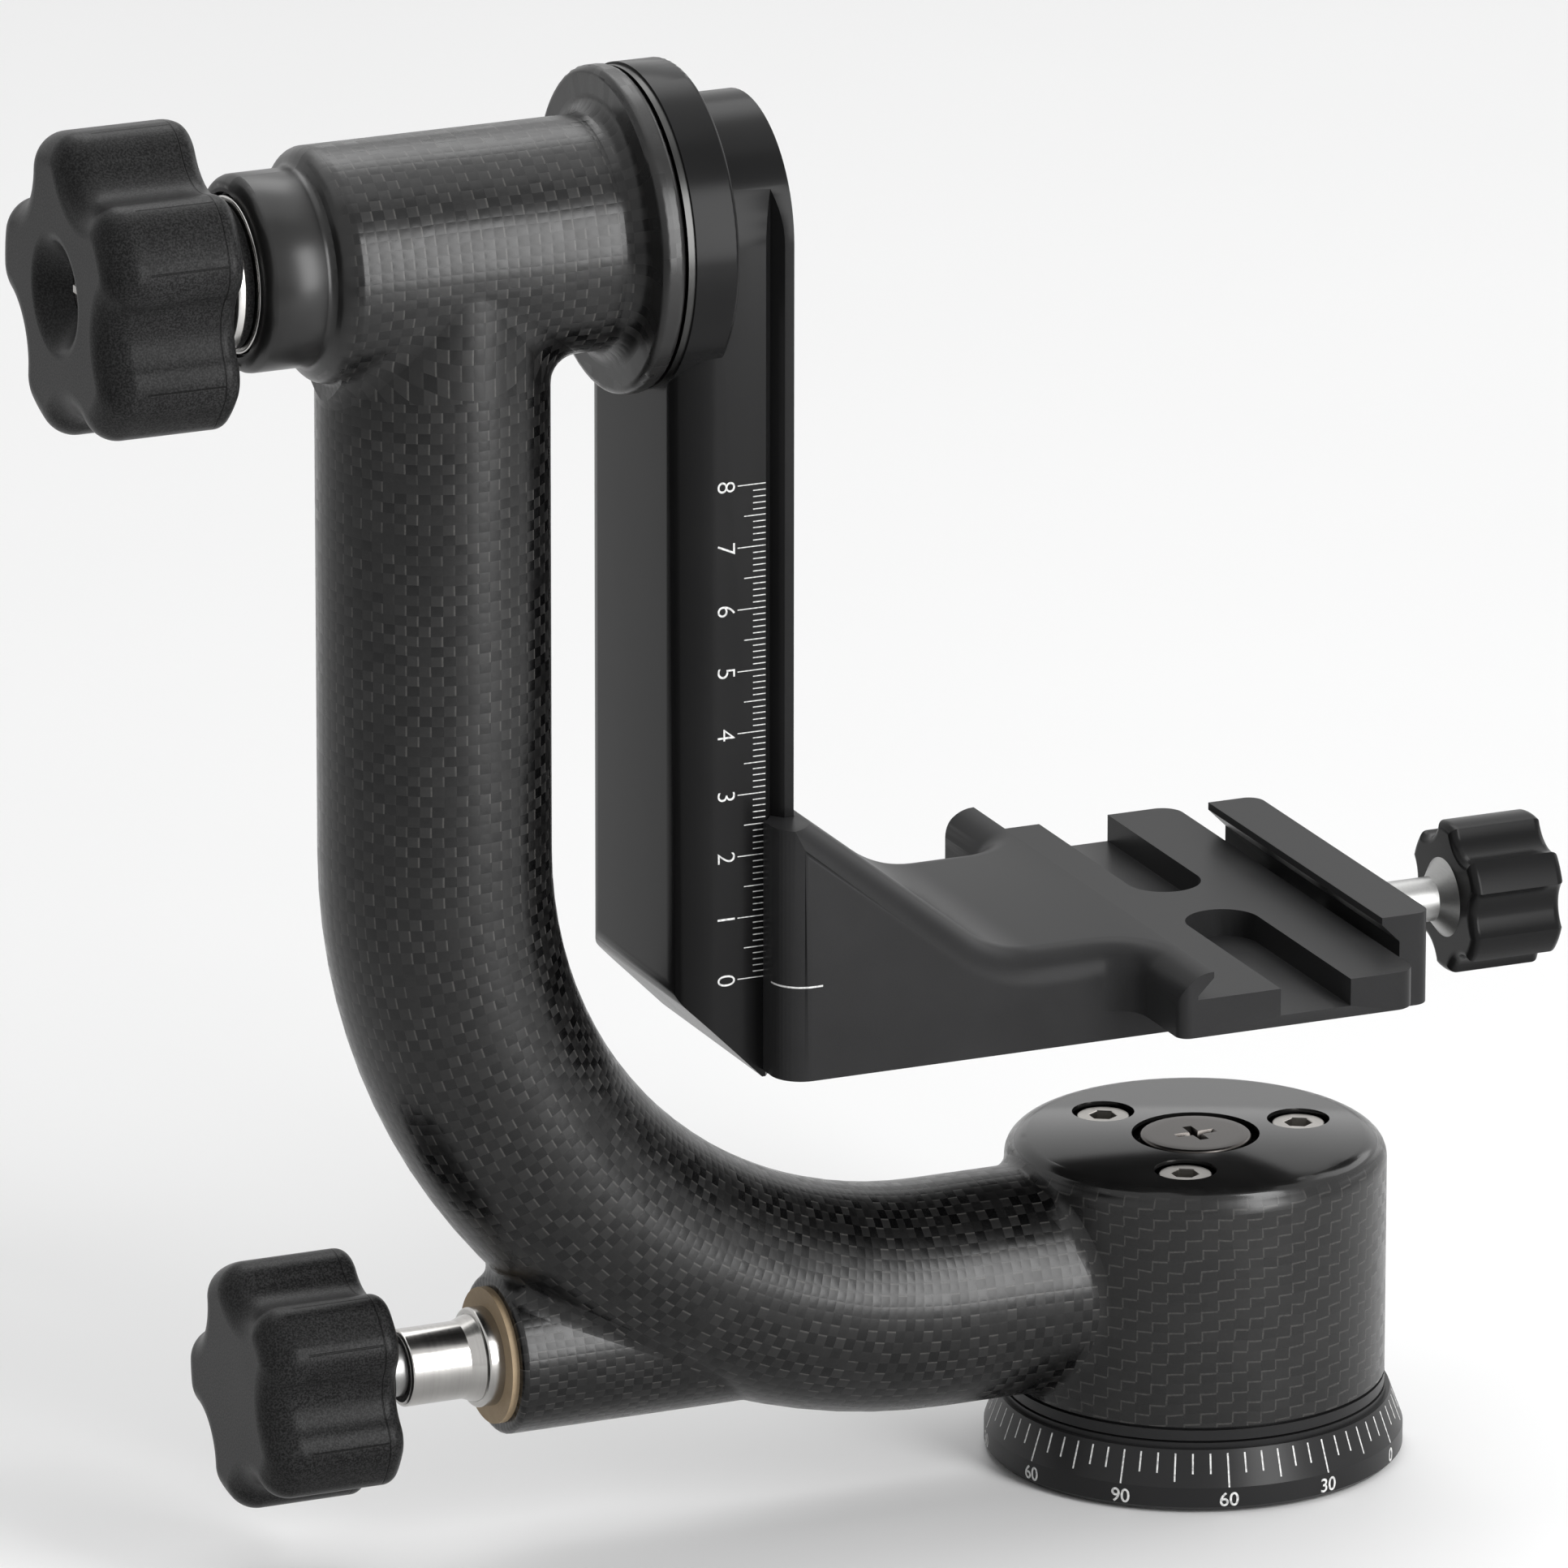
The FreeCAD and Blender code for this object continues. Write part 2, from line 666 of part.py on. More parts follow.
def half_disc(sketch, radius):
    """Half of a disc about the sketch's origin, closed along the horizontal axis."""
    arc = sketch.addGeometry(Part.ArcOfCircle(Part.Circle(Vector(0, 0, 0), Vector(0, 0, 1), float(radius)),
                                              0, math.pi))
    line = sketch.addGeometry(Part.LineSegment(Vector(-float(radius), 0, 0), Vector(float(radius), 0, 0)))
    sketch.addConstraint(Sketcher.Constraint("Coincident", arc, 3, -1, 1))
    sketch.addConstraint(Sketcher.Constraint("Coincident", arc, 1, line, 2))
    sketch.addConstraint(Sketcher.Constraint("Coincident", arc, 2, line, 1))
    sketch.addConstraint(Sketcher.Constraint("Horizontal", line))
    dimension(sketch, radius, "Radius", arc)


def hexagon(x, y, radius):
    """A hexagon about a point, by the radius of its corners."""
    return Polygon([(x + radius * cosine(60 * turn), y + radius * sine(60 * turn)) for turn in range(6)])


def cross(reach, half):
    """A cross of two slots about the origin, by how far they reach and half their width."""
    quarter = [(half, half), (half, reach), (-half, reach)]
    corners = []
    for _ in range(4):
        corners += quarter
        quarter = [(0 - y, x) for x, y in quarter]
    return Polygon(corners)


# ---------------------------------------------------------------- graduated base and pan spindle
def base_dial():
    """Base disc: plain rim, bevel that carries the scale, and a seat for the spindle's flange."""
    dial = Piece("base_dial")
    seat_radius = S.spindle_flange_radius + S.fit_gap
    dial.turned("Z", [
        (0, S.insert_radius), (0, S.dial_radius - S.dial_edge), (S.dial_edge, S.dial_radius),
        (S.rim_height, S.dial_radius), (S.bevel_top, S.bevel_radius),
        (S.bevel_top, S.bevel_radius - S.dial_step), (S.dial_height, S.bevel_radius - S.dial_step),
        (S.dial_height, seat_radius), (FLANGE_SEAT, seat_radius), (FLANGE_SEAT, S.insert_radius)])
    hole = dial.turned("Z", screw_hole(FLANGE_SEAT), centre=(S.base_screw_circle, 0), cut=True)
    dial.repeated([hole], "Z", S.base_screw_count)


def screw_hole(depth):
    """Half section of a countersunk clearance hole from the underside up to a depth."""
    radius, head = S.base_screw_radius + S.fit_gap, S.base_screw_head + S.fit_gap
    sink = S.base_screw_sink
    return [(0, 0), (0, head), (sink, head), (sink + head - radius, radius), (depth, radius), (depth, 0)]


def thread_insert():
    """Steel insert with the tripod thread, pressed into the middle of the base."""
    ring("thread_insert", "Z", Size(0), FLANGE_SEAT, S.thread_radius, S.insert_radius)


def base_screws():
    """Countersunk screws that hold the spindle's flange to the base disc."""
    screws = Piece("base_screws")
    sink, head, radius = S.base_screw_sink, S.base_screw_head, S.base_screw_radius
    tip = S.dial_height - S.face_gap
    screw = screws.turned("Z", [(sink, 0), (sink, head), (sink + head - radius, radius), (tip, radius),
                                (tip, 0)], centre=(S.base_screw_circle, 0))
    socket = screws.prism("Z", sink, sink + S.base_screw_hex_depth,
                          hexagon(S.base_screw_circle, 0, S.base_screw_hex), cut=True)
    screws.repeated([screw, socket], "Z", S.base_screw_count)


def pan_spindle():
    """Fixed steel spindle: flange, two bearing seats and the smooth neck that the lock presses on."""
    spindle = Piece("pan_spindle")
    top = UPPER_TOP - S.race_clamp
    spindle.turned("Z", [
        (FLANGE_SEAT, 0), (FLANGE_SEAT, S.spindle_flange_radius), (S.dial_height, S.spindle_flange_radius),
        (S.dial_height, S.spindle_shoulder_radius), (DRUM_BOTTOM, S.spindle_shoulder_radius),
        (DRUM_BOTTOM, S.lower_bore), (UPPER_BOTTOM, S.lower_bore), (UPPER_BOTTOM, S.upper_bore),
        (top, S.upper_bore), (top, 0)])
    spindle.prism("Z", top - S.cap_shank, top, Circle(0, 0, S.cap_shank_radius), cut=True)
    hole = spindle.prism("Z", FLANGE_SEAT, S.dial_height,
                         Circle(S.base_screw_circle, 0, S.base_screw_radius), cut=True)
    spindle.repeated([hole], "Z", S.base_screw_count)


def spindle_cap_screw():
    """Large flat screw in the middle of the drum's top, which closes the spindle."""
    screw = Piece("spindle_cap_screw")
    under = DRUM_TOP - S.cap_head
    tip = UPPER_TOP - S.race_clamp - S.cap_shank + S.face_gap
    screw.turned("Z", [(tip, 0), (tip, S.cap_shank_radius), (under, S.cap_shank_radius),
                       (under, S.cap_head_radius), (DRUM_TOP, S.cap_head_radius), (DRUM_TOP, 0)])
    screw.prism("Z", DRUM_TOP - S.cap_cross_depth, DRUM_TOP,
                cross(S.cap_cross_reach, S.cap_cross_half_width), cut=True)


def pan_bearings():
    """Races and balls of the two pan bearings, and the washer that clamps the upper one."""
    for level, low, high in (("lower", DRUM_BOTTOM, LOWER_TOP), ("upper", UPPER_BOTTOM, UPPER_TOP)):
        inner, outer = getattr(S, f"{level}_bore"), getattr(S, f"{level}_outer")
        ring(f"pan_{level}_inner_race", "Z", low, high, inner, inner + S.race_wall)
        ring(f"pan_{level}_outer_race", "Z", low, high, outer - S.race_wall, outer)
        ball_row(f"pan_{level}_balls", "Z", (low + high) / 2, inner, outer,
                 getattr(S, f"{level}_ball_count"))
    ring("spindle_washer", "Z", UPPER_TOP, DRUM_TOP - S.cap_head, S.cap_shank_radius,
         S.upper_bore + S.race_wall - S.face_gap)


# ---------------------------------------------------------------- J-arm
def tube_route(piece):
    """Sketch of the tube's centre line: down from the tilt axis, round the bend and on to the pan axis."""
    bend_top = TUBE_LOW + S.bend_radius
    bend_foot = TUBE_X + S.bend_radius
    corners = [(TUBE_X, S.tilt_height), (TUBE_X, bend_top), (bend_foot, TUBE_LOW),
               (-CORE_RADIUS / 2, TUBE_LOW)]
    start, knee, foot, end = [Vector(float(x), float(y), 0) for x, y in corners]
    middle = Vector(float(bend_foot), float(bend_top), 0) \
        - Vector(1, 1, 0).normalize() * float(S.bend_radius)
    route = piece.sketch("XZ_Plane", [])
    upright = route.addGeometry(Part.LineSegment(start, knee))
    bend = route.addGeometry(Part.Arc(knee, middle, foot))
    lower = route.addGeometry(Part.LineSegment(foot, end))
    for edge, end_point, (x, y) in zip((upright, upright, lower, lower), (1, 2, 1, 2), corners):
        hold_point(route, edge, end_point, x, y)
    for end_point in (1, 2):
        point = route.getPoint(bend, end_point)
        edge, other = (upright, 2) if point.distanceToPoint(knee) < point.distanceToPoint(foot) else (lower, 1)
        route.addConstraint(Sketcher.Constraint("Coincident", bend, end_point, edge, other))
    dimension(route, S.bend_radius, "Radius", bend)
    return route


def arm_shell():
    """Hollow carbon J-arm: bent tube, pan drum, cross tube with neck and flange, and the lock boss."""
    arm = Piece("arm_shell")
    cross_tube(arm)
    arm.prism("Z", DRUM_BOTTOM, DRUM_TOP, Circle(0, 0, S.drum_radius))
    arm.rounded(S.drum_round, flat_edges("Z", DRUM_TOP, S.drum_radius))
    across = arm.sketch("XY_Plane", [Circle(TUBE_X, 0, S.tube_radius)], lift=S.tilt_height)
    arm.feature("AdditivePipe", Profile=across, Spine=(tube_route(arm), []))
    blend_tubes(arm)
    cut_neck(arm)
    lock_boss(arm)
    hollow_arm(arm)


def cross_tube(arm):
    """Blank of the cross tube along the tilt axis, with the flange at its right end."""
    flange_back = FLANGE_FACE - S.flange_thickness
    arm.turned("X", [
        (NECK_LEFT, 0), (NECK_LEFT, S.cross_radius), (flange_back, S.cross_radius, S.flange_blend),
        (flange_back, S.flange_radius, S.flange_round), (FLANGE_FACE, S.flange_radius, S.flange_round),
        (FLANGE_FACE, 0)], centre=(0, S.tilt_height))


def cut_neck(arm):
    """Turn the left end of the cross tube down to the neck, with a sloping shoulder beside the tube."""
    top = S.cross_radius + S.tee_blend + OVERCUT
    root = TUBE_X - S.shoulder_root
    arm.turned("X", [
        (NECK_LEFT, S.neck_radius), (CROSS_LEFT, S.neck_radius, S.shoulder_foot_round),
        (CROSS_LEFT + S.shoulder_slope, S.cross_radius, S.shoulder_round),
        (root, S.cross_radius, S.shoulder_root_round), (root, top), (NECK_LEFT, top)],
        centre=(0, S.tilt_height), cut=True)
    arm.rounded(S.neck_round, flat_edges("X", NECK_LEFT, S.neck_radius))


def blend_tubes(arm):
    """Blend the tube into the cross tube and the drum."""
    arm.rounded(S.tee_blend, edges_within(
        x=(TUBE_X - S.tube_radius - NEAR, TUBE_X + S.tube_radius + NEAR), wide=SEAM_WIDTH,
        z=(S.tilt_height - S.cross_radius - NEAR, S.tilt_height - NEAR)))
    arm.rounded(S.drum_blend, edges_within(
        x=(-S.drum_radius - NEAR, -S.drum_radius / 4), z=(DRUM_BOTTOM + NEAR, DRUM_TOP - NEAR),
        wide=SEAM_WIDTH))


def lock_boss(arm):
    """Boss on the outside of the bend, in line with the lower tube, blended into it."""
    arm.turned("X", [
        (-S.boss_end, 0), (-S.boss_end, S.boss_radius, S.boss_round), (-S.boss_root, S.boss_radius),
        (-S.boss_root, 0)], centre=(0, TUBE_LOW))
    arm.rounded(S.boss_blend, edges_within(
        x=(-S.boss_end + NEAR, -S.boss_root - NEAR), wide=SEAM_WIDTH,
        z=(TUBE_LOW - S.boss_radius - NEAR, TUBE_LOW + S.boss_radius + NEAR)))


def hollow_arm(arm):
    """Cut the J-arm's inside: drum, tube, cross tube, neck, boss and the openings in the drum's top."""
    arm.turned("Z", [(DRUM_BOTTOM, 0), (DRUM_BOTTOM, CORE_RADIUS), (ROOF_BOTTOM, CORE_RADIUS),
                     (ROOF_BOTTOM, S.cap_opening), (DRUM_TOP, S.cap_opening), (DRUM_TOP, 0)], cut=True)
    inside = arm.sketch("XY_Plane", [Circle(TUBE_X, 0, S.tube_radius - S.tube_wall)], lift=S.tilt_height)
    arm.feature("SubtractivePipe", Profile=inside, Spine=(tube_route(arm), []))
    arm.turned("X", [(NECK_LEFT, 0), (NECK_LEFT, NECK_BORE), (HOUSING_STEP, NECK_BORE),
                     (HOUSING_STEP, CROSS_BORE), (FLANGE_FACE, CROSS_BORE), (FLANGE_FACE, 0)],
               centre=(0, S.tilt_height), cut=True)
    arm.prism("X", -S.boss_end, -S.boss_root, Circle(0, TUBE_LOW, S.liner_body_radius), cut=True)
    hole = arm.prism("Z", ROOF_BOTTOM, DRUM_TOP, Circle(S.drum_screw_circle, 0, S.drum_screw_sink), cut=True)
    arm.repeated([hole], "Z", S.drum_screw_count)


def pan_housing():
    """Aluminium core bonded into the drum: both bearing seats, the screw holes and the shoe's bore."""
    core = Piece("pan_housing")
    core.turned("Z", [
        (DRUM_BOTTOM, S.lower_outer), (DRUM_BOTTOM, CORE_RADIUS), (ROOF_BOTTOM, CORE_RADIUS),
        (ROOF_BOTTOM, S.cap_opening), (UPPER_TOP, S.cap_opening), (UPPER_TOP, S.upper_outer),
        (LOWER_TOP, S.upper_outer), (LOWER_TOP, S.lower_outer)])
    core.prism("X", -CORE_RADIUS, -S.upper_outer / 2,
               Circle(0, TUBE_LOW, S.shoe_radius + S.fit_gap), cut=True)
    under_head = DRUM_TOP - S.drum_screw_recess - S.drum_screw_head_height
    sink = core.prism("Z", under_head, ROOF_BOTTOM, Circle(S.drum_screw_circle, 0, S.drum_screw_sink), cut=True)
    hole = core.prism("Z", under_head - S.drum_screw_length, under_head,
                      Circle(S.drum_screw_circle, 0, S.drum_screw_radius), cut=True)
    core.repeated([sink, hole], "Z", S.drum_screw_count)


def drum_screws():
    """Socket cap screws sunk into the drum's top."""
    screws = Piece("drum_screws")
    top = DRUM_TOP - S.drum_screw_recess
    under_head = top - S.drum_screw_head_height
    tip = under_head - S.drum_screw_length
    screw = screws.turned("Z", [(tip, 0), (tip, S.drum_screw_radius), (under_head, S.drum_screw_radius),
                                (under_head, S.drum_screw_head), (top, S.drum_screw_head), (top, 0)],
                          centre=(S.drum_screw_circle, 0))
    socket = screws.prism("Z", top - S.drum_screw_hex_depth, top,
                          hexagon(S.drum_screw_circle, 0, S.drum_screw_hex), cut=True)
    screws.repeated([screw, socket], "Z", S.drum_screw_count)


def drum_collar():
    """Black collar under the drum, which holds the lower bearing and covers the gap to the dial."""
    collar = Piece("drum_collar")
    bore = S.spindle_shoulder_radius + S.race_wall * 2
    lip = DRUM_BOTTOM - S.collar_lip
    collar.turned("Z", [
        (COLLAR_BOTTOM, bore), (COLLAR_BOTTOM, S.drum_radius), (lip, S.drum_radius),
        (lip, S.drum_radius - S.collar_step), (DRUM_BOTTOM, S.drum_radius - S.collar_step),
        (DRUM_BOTTOM, bore)])


# ---------------------------------------------------------------- pan lock
def brake_shoe():
    """Bronze shoe that the lock rod presses against the spindle; its face fits the locked spindle."""
    shoe = Piece("brake_shoe", (0, 0, TUBE_LOW))
    face = S.lower_bore + S.fit_gap
    over = S.shoe_radius + OVERCUT
    shoe.prism("X", -face - S.shoe_length, -face / 2, Circle(0, 0, S.shoe_radius))
    shoe.turned("Z", [(-over, 0), (-over, face), (over, face), (over, 0)],
                centre=(-S.lock_travel, 0), cut=True)


def lock_rod():
    """Long threaded rod through the lower tube, from the pan knob to the brake shoe."""
    rod = Piece("lock_rod", (0, 0, TUBE_LOW))
    right = -(S.lower_bore + S.fit_gap + S.shoe_length + S.face_gap)
    rod.prism("X", PAN_CAP_LEFT - S.rod_socket, right, Circle(0, 0, S.rod_radius))


def lock_sleeve():
    """Bright flanged sleeve in the boss, which guides the lock rod."""
    sleeve = Piece("lock_sleeve", (0, 0, TUBE_LOW))
    bore = S.rod_radius + S.fit_gap
    left, right = -S.sleeve_outer_end, -S.sleeve_inner_end
    flange_right = -S.boss_end - S.liner_flange
    flange_left = flange_right - S.sleeve_flange
    sleeve.turned("X", [
        (left, S.seal_radius), (left, S.sleeve_radius), (flange_left - S.sleeve_flare, S.sleeve_radius),
        (flange_left, S.sleeve_flare_radius), (flange_left, S.sleeve_flange_radius),
        (flange_right, S.sleeve_flange_radius),
        (flange_right, S.sleeve_radius), (right, S.sleeve_radius), (right, bore),
        (left + S.seal_length, bore), (left + S.seal_length, S.seal_radius)])
    sleeve.rounded(S.sleeve_round, flat_edges("X", left, S.sleeve_radius),
                   flat_edges("X", flange_left, S.sleeve_flange_radius))


def lock_liner():
    """Tan fibre liner between the boss and the sleeve."""
    liner = Piece("lock_liner", (0, 0, TUBE_LOW))
    left = -S.boss_end - S.liner_flange
    liner.turned("X", [
        (left, S.sleeve_radius), (left, S.liner_radius), (-S.boss_end, S.liner_radius),
        (-S.boss_end, S.liner_body_radius), (-S.sleeve_inner_end, S.liner_body_radius),
        (-S.sleeve_inner_end, S.sleeve_radius)])


def rod_seal():
    """Rubber ring in the mouth of the sleeve."""
    left = -S.sleeve_outer_end
    ring("rod_seal", "X", left, left + S.seal_length, S.rod_radius + S.fit_gap, S.seal_radius,
         (0, 0, TUBE_LOW))


# ---------------------------------------------------------------- lobed knobs
def lobed(piece, left, right, radius, waist, angle):
    """Lobed block about the piece's X axis: a disc with a hollow cut between each pair of lobes."""
    piece.prism("X", left, right, Circle(0, 0, radius))
    cut_radius = radius * S.lobe_cut_ratio
    step = Size(360) / S.lobe_count
    direction = angle + step / 2
    reach = waist + cut_radius
    hollow = piece.prism("X", left, right,
                         Circle(reach * cosine(direction), reach * sine(direction), cut_radius), cut=True)
    piece.repeated([hollow], "X", S.lobe_count)
    piece.rounded(radius * S.lobe_round_ratio, along_axis(left, right))


def along_axis(left, right):
    """Test for straight edges that run the whole way between two places along X."""
    left, right = float(left), float(right)

    def passes(edge):
        bounds = edge.BoundBox
        straight = edge.Curve.TypeId == "Part::GeomLine"
        return straight and abs(bounds.XMin - left) < TOUCH and abs(bounds.XMax - right) < TOUCH
    return passes


def tilt_knob():
    """Upper knob, its rear cap with the hub, its threaded insert and the stop screw in its dish."""
    at = (0, 0, S.tilt_height)
    insert_radius = S.shaft_thread_radius + S.insert_wall
    insert_left = SHAFT_LEFT + S.face_gap
    step = SHAFT_LEFT - S.shaft_end_gap
    head_bore = S.dish_screw_head + S.face_gap
    grip = S.tilt_knob_radius, S.tilt_knob_waist, S.tilt_knob_angle
    knob = Piece("tilt_knob", at)
    lobed(knob, TILT_KNOB_LEFT, TILT_CAP_LEFT, *grip)
    knob.rounded(S.knob_front_round, flat_edges("X", TILT_KNOB_LEFT))
    knob.turned("X", [
        (TILT_KNOB_LEFT, 0), (TILT_KNOB_LEFT, S.dish_radius), (DISH_BOTTOM, head_bore),
        (step, head_bore), (step, insert_radius), (TILT_CAP_LEFT, insert_radius),
        (TILT_CAP_LEFT, 0)], cut=True)
    knob.rounded(S.dish_round, flat_edges("X", TILT_KNOB_LEFT, S.dish_radius))
    cap = Piece("tilt_knob_cap", at)
    lobed(cap, TILT_CAP_LEFT, TILT_CAP_RIGHT, *grip)
    cap.rounded(S.knob_cap_round, flat_edges("X", TILT_CAP_RIGHT))
    cap.prism("X", TILT_CAP_RIGHT, TILT_HUB_RIGHT, Circle(0, 0, S.tilt_hub_radius))
    cap.prism("X", TILT_CAP_LEFT, TILT_HUB_RIGHT, Circle(0, 0, insert_radius), cut=True)
    ring("tilt_knob_insert", "X", insert_left, TILT_HUB_RIGHT, S.shaft_thread_radius + S.fit_gap,
         insert_radius, at)
    screw = Piece("tilt_knob_screw", at)
    under = SHAFT_LEFT - S.dish_screw_head_height
    tip = SHAFT_LEFT + S.dish_screw_length
    screw.turned("X", [(under, 0), (under, S.dish_screw_head), (SHAFT_LEFT, S.dish_screw_head),
                       (SHAFT_LEFT, S.dish_screw_radius), (tip, S.dish_screw_radius), (tip, 0)])
    screw.prism("X", under, under + S.dish_cross_depth,
                cross(S.dish_cross_reach, S.dish_cross_half_width), cut=True)


def pan_knob():
    """Lower knob, moulded on the end of the lock rod, and its rear cap with the hub."""
    at = (0, 0, TUBE_LOW)
    grip = S.pan_knob_radius, S.pan_knob_waist, S.pan_knob_angle
    knob = Piece("pan_knob", at)
    lobed(knob, PAN_KNOB_LEFT, PAN_CAP_LEFT, *grip)
    knob.rounded(S.knob_front_round, flat_edges("X", PAN_KNOB_LEFT))
    knob.prism("X", PAN_CAP_LEFT - S.rod_socket, PAN_CAP_LEFT, Circle(0, 0, S.rod_radius), cut=True)
    cap = Piece("pan_knob_cap", at)
    lobed(cap, PAN_CAP_LEFT, PAN_CAP_RIGHT, *grip)
    cap.rounded(S.knob_cap_round, flat_edges("X", PAN_CAP_RIGHT))
    cap.prism("X", PAN_CAP_RIGHT, -S.pan_hub_end, Circle(0, 0, S.pan_hub_radius))
    cap.prism("X", PAN_CAP_LEFT, -S.pan_hub_end, Circle(0, 0, S.rod_radius), cut=True)


# ---------------------------------------------------------------- tilt axis
def tilt_housing():
    """Aluminium sleeve bonded into the cross tube, with the bush's seat and the bearing's seat."""
    nose = NECK_BORE
    bush_outer = S.shaft_radius + S.fit_gap + S.tilt_bush_wall
    bush_right = THRUST_SEAT + S.shaft_step + S.tilt_bush_length
    housing = Piece("tilt_housing", (0, 0, S.tilt_height))
    housing.turned("X", [
        (THRUST_SEAT, bush_outer), (THRUST_SEAT, nose), (HOUSING_STEP, nose), (HOUSING_STEP, CROSS_BORE),
        (HOUSING_RIGHT, CROSS_BORE), (HOUSING_RIGHT, S.tilt_bearing_outer),
        (TILT_BEARING_LEFT, S.tilt_bearing_outer), (TILT_BEARING_LEFT, S.shaft_radius + S.tilt_bore_gap),
        (bush_right, S.shaft_radius + S.tilt_bore_gap), (bush_right, bush_outer)])
    ring("tilt_bush", "X", THRUST_SEAT + S.shaft_step, bush_right, S.shaft_radius + S.fit_gap, bush_outer,
         (0, 0, S.tilt_height))


def tilt_bearing():
    """Races and balls of the bearing beside the swing arm."""
    at = (0, 0, S.tilt_height)
    left, right = TILT_BEARING_LEFT, HOUSING_RIGHT
    ring("tilt_inner_race", "X", left, right, S.shaft_radius, S.shaft_radius + S.race_wall, at)
    ring("tilt_outer_race", "X", left, right, S.tilt_bearing_outer - S.race_wall, S.tilt_bearing_outer, at)
    ball_row("tilt_balls", "X", (left + right) / 2, S.shaft_radius, S.tilt_bearing_outer,
             S.tilt_ball_count, at)


def tilt_shaft():
    """Steel shaft of the swing arm: flange, bearing seat, journal and the thread for the knob."""
    step = THRUST_SEAT + S.shaft_step
    shaft = Piece("tilt_shaft", (0, 0, S.tilt_height))
    shaft.turned("X", [
        (SHAFT_LEFT, 0), (SHAFT_LEFT, S.shaft_thread_radius), (step, S.shaft_thread_radius),
        (step, S.shaft_radius), (HOUSING_RIGHT, S.shaft_radius), (HOUSING_RIGHT, S.shaft_collar_radius),
        (HUB_LEFT, S.shaft_collar_radius), (HUB_LEFT, S.shaft_flange_radius),
        (HUB_LEFT + S.shaft_flange, S.shaft_flange_radius), (HUB_LEFT + S.shaft_flange, 0)])
    shaft.prism("X", SHAFT_LEFT, SHAFT_LEFT + S.dish_screw_length, Circle(0, 0, S.dish_screw_radius), cut=True)
    hole = shaft.prism("X", HUB_LEFT, HUB_LEFT + S.shaft_flange,
                       Circle(S.shaft_screw_circle, 0, S.shaft_screw_radius), cut=True)
    shaft.repeated([hole], "X", S.shaft_screw_count)


def thrust_rings():
    """Bright rings behind the tilt knob: the seat on the neck, then the cage and washer it is pressed by."""
    at = (0, 0, S.tilt_height)
    running = S.shaft_thread_radius + S.fit_gap
    ring("thrust_seat_ring", "X", SEAT_RING_LEFT, THRUST_SEAT, running, S.thrust_radius, at)
    ring("thrust_cage", "X", CAGE_LEFT, CAGE_RIGHT, running, S.cage_radius, at)
    ring("thrust_washer", "X", WASHER_LEFT, CAGE_LEFT, running, S.thrust_radius, at)


# ---------------------------------------------------------------- swing arm
def swing_arm():
    """Swing arm: flat bar with a round top, the hub on its back, a bevelled foot and the dovetail rail."""
    arm = Piece("swing_arm", (0, 0, S.tilt_height))
    foot = S.swing_bottom - S.tilt_height
    half = S.swing_half_width
    arm.prism("X", HUB_LEFT, RAIL_FACE, box(-half, half, foot, Size(0)))
    arm.prism("X", HUB_LEFT, RAIL_FACE, Circle(0, 0, half))
    arm.bevelled(S.swing_bevel, edges_within(x=near(HUB_LEFT), z=near(foot)))
    arm.rounded(S.swing_round, flat_edges("X", HUB_LEFT))
    groove_cut(arm, foot)
    arm.prism("X", HUB_LEFT, HUB_LEFT + S.hub_thickness, Circle(0, 0, S.hub_radius))
    arm.rounded(S.hub_round, flat_edges("X", HUB_LEFT + S.hub_thickness, S.hub_radius))
    arm.prism("X", HUB_LEFT, HUB_LEFT + S.shaft_flange, Circle(0, 0, S.shaft_flange_radius), cut=True)
    radius, head = S.shaft_screw_radius + S.fit_gap, S.shaft_screw_head + S.fit_gap
    face = RAIL_FACE - S.shaft_screw_sink
    hole = arm.turned("X", [
        (HUB_LEFT, 0), (HUB_LEFT, radius), (face - head + radius, radius), (face, head),
        (RAIL_FACE, head), (RAIL_FACE, 0)], centre=(S.shaft_screw_circle, 0), cut=True)
    arm.repeated([hole], "X", S.shaft_screw_count)


def groove_cut(arm, foot):
    """Cut the two V grooves of the dovetail rail along the whole arm."""
    half, deep = S.swing_half_width, S.swing_half_width - S.groove_depth
    outside = half + S.groove_half_width
    left, right = GROOVE_X - S.groove_half_width, GROOVE_X + S.groove_half_width
    groove = arm.prism("Z", foot, half, Polygon([(GROOVE_X, deep), (right, half), (right, outside),
                                                 (left, outside), (left, half)]), cut=True)
    arm.mirrored([groove], "XZ_Plane")


def shaft_screws():
    """Countersunk screws from the rail's face into the shaft's flange."""
    screws = Piece("shaft_screws", (0, 0, S.tilt_height))
    face = RAIL_FACE - S.shaft_screw_sink
    head, radius = S.shaft_screw_head, S.shaft_screw_radius
    screw = screws.turned("X", [(HUB_LEFT, 0), (HUB_LEFT, radius), (face - head + radius, radius),
                                (face, head), (face, 0)], centre=(S.shaft_screw_circle, 0))
    socket = screws.prism("X", face - S.shaft_screw_hex_depth, face,
                          hexagon(S.shaft_screw_circle, 0, S.shaft_screw_hex), cut=True)
    screws.repeated([screw, socket], "X", S.shaft_screw_count)


def friction_ring():
    """Thin polished ring on the back of the hub, which runs beside the J-arm's flange."""
    ring("friction_ring", "X", HUB_LEFT - S.friction_ring, HUB_LEFT, S.friction_ring_bore,
         S.friction_ring_radius, (0, 0, S.tilt_height))


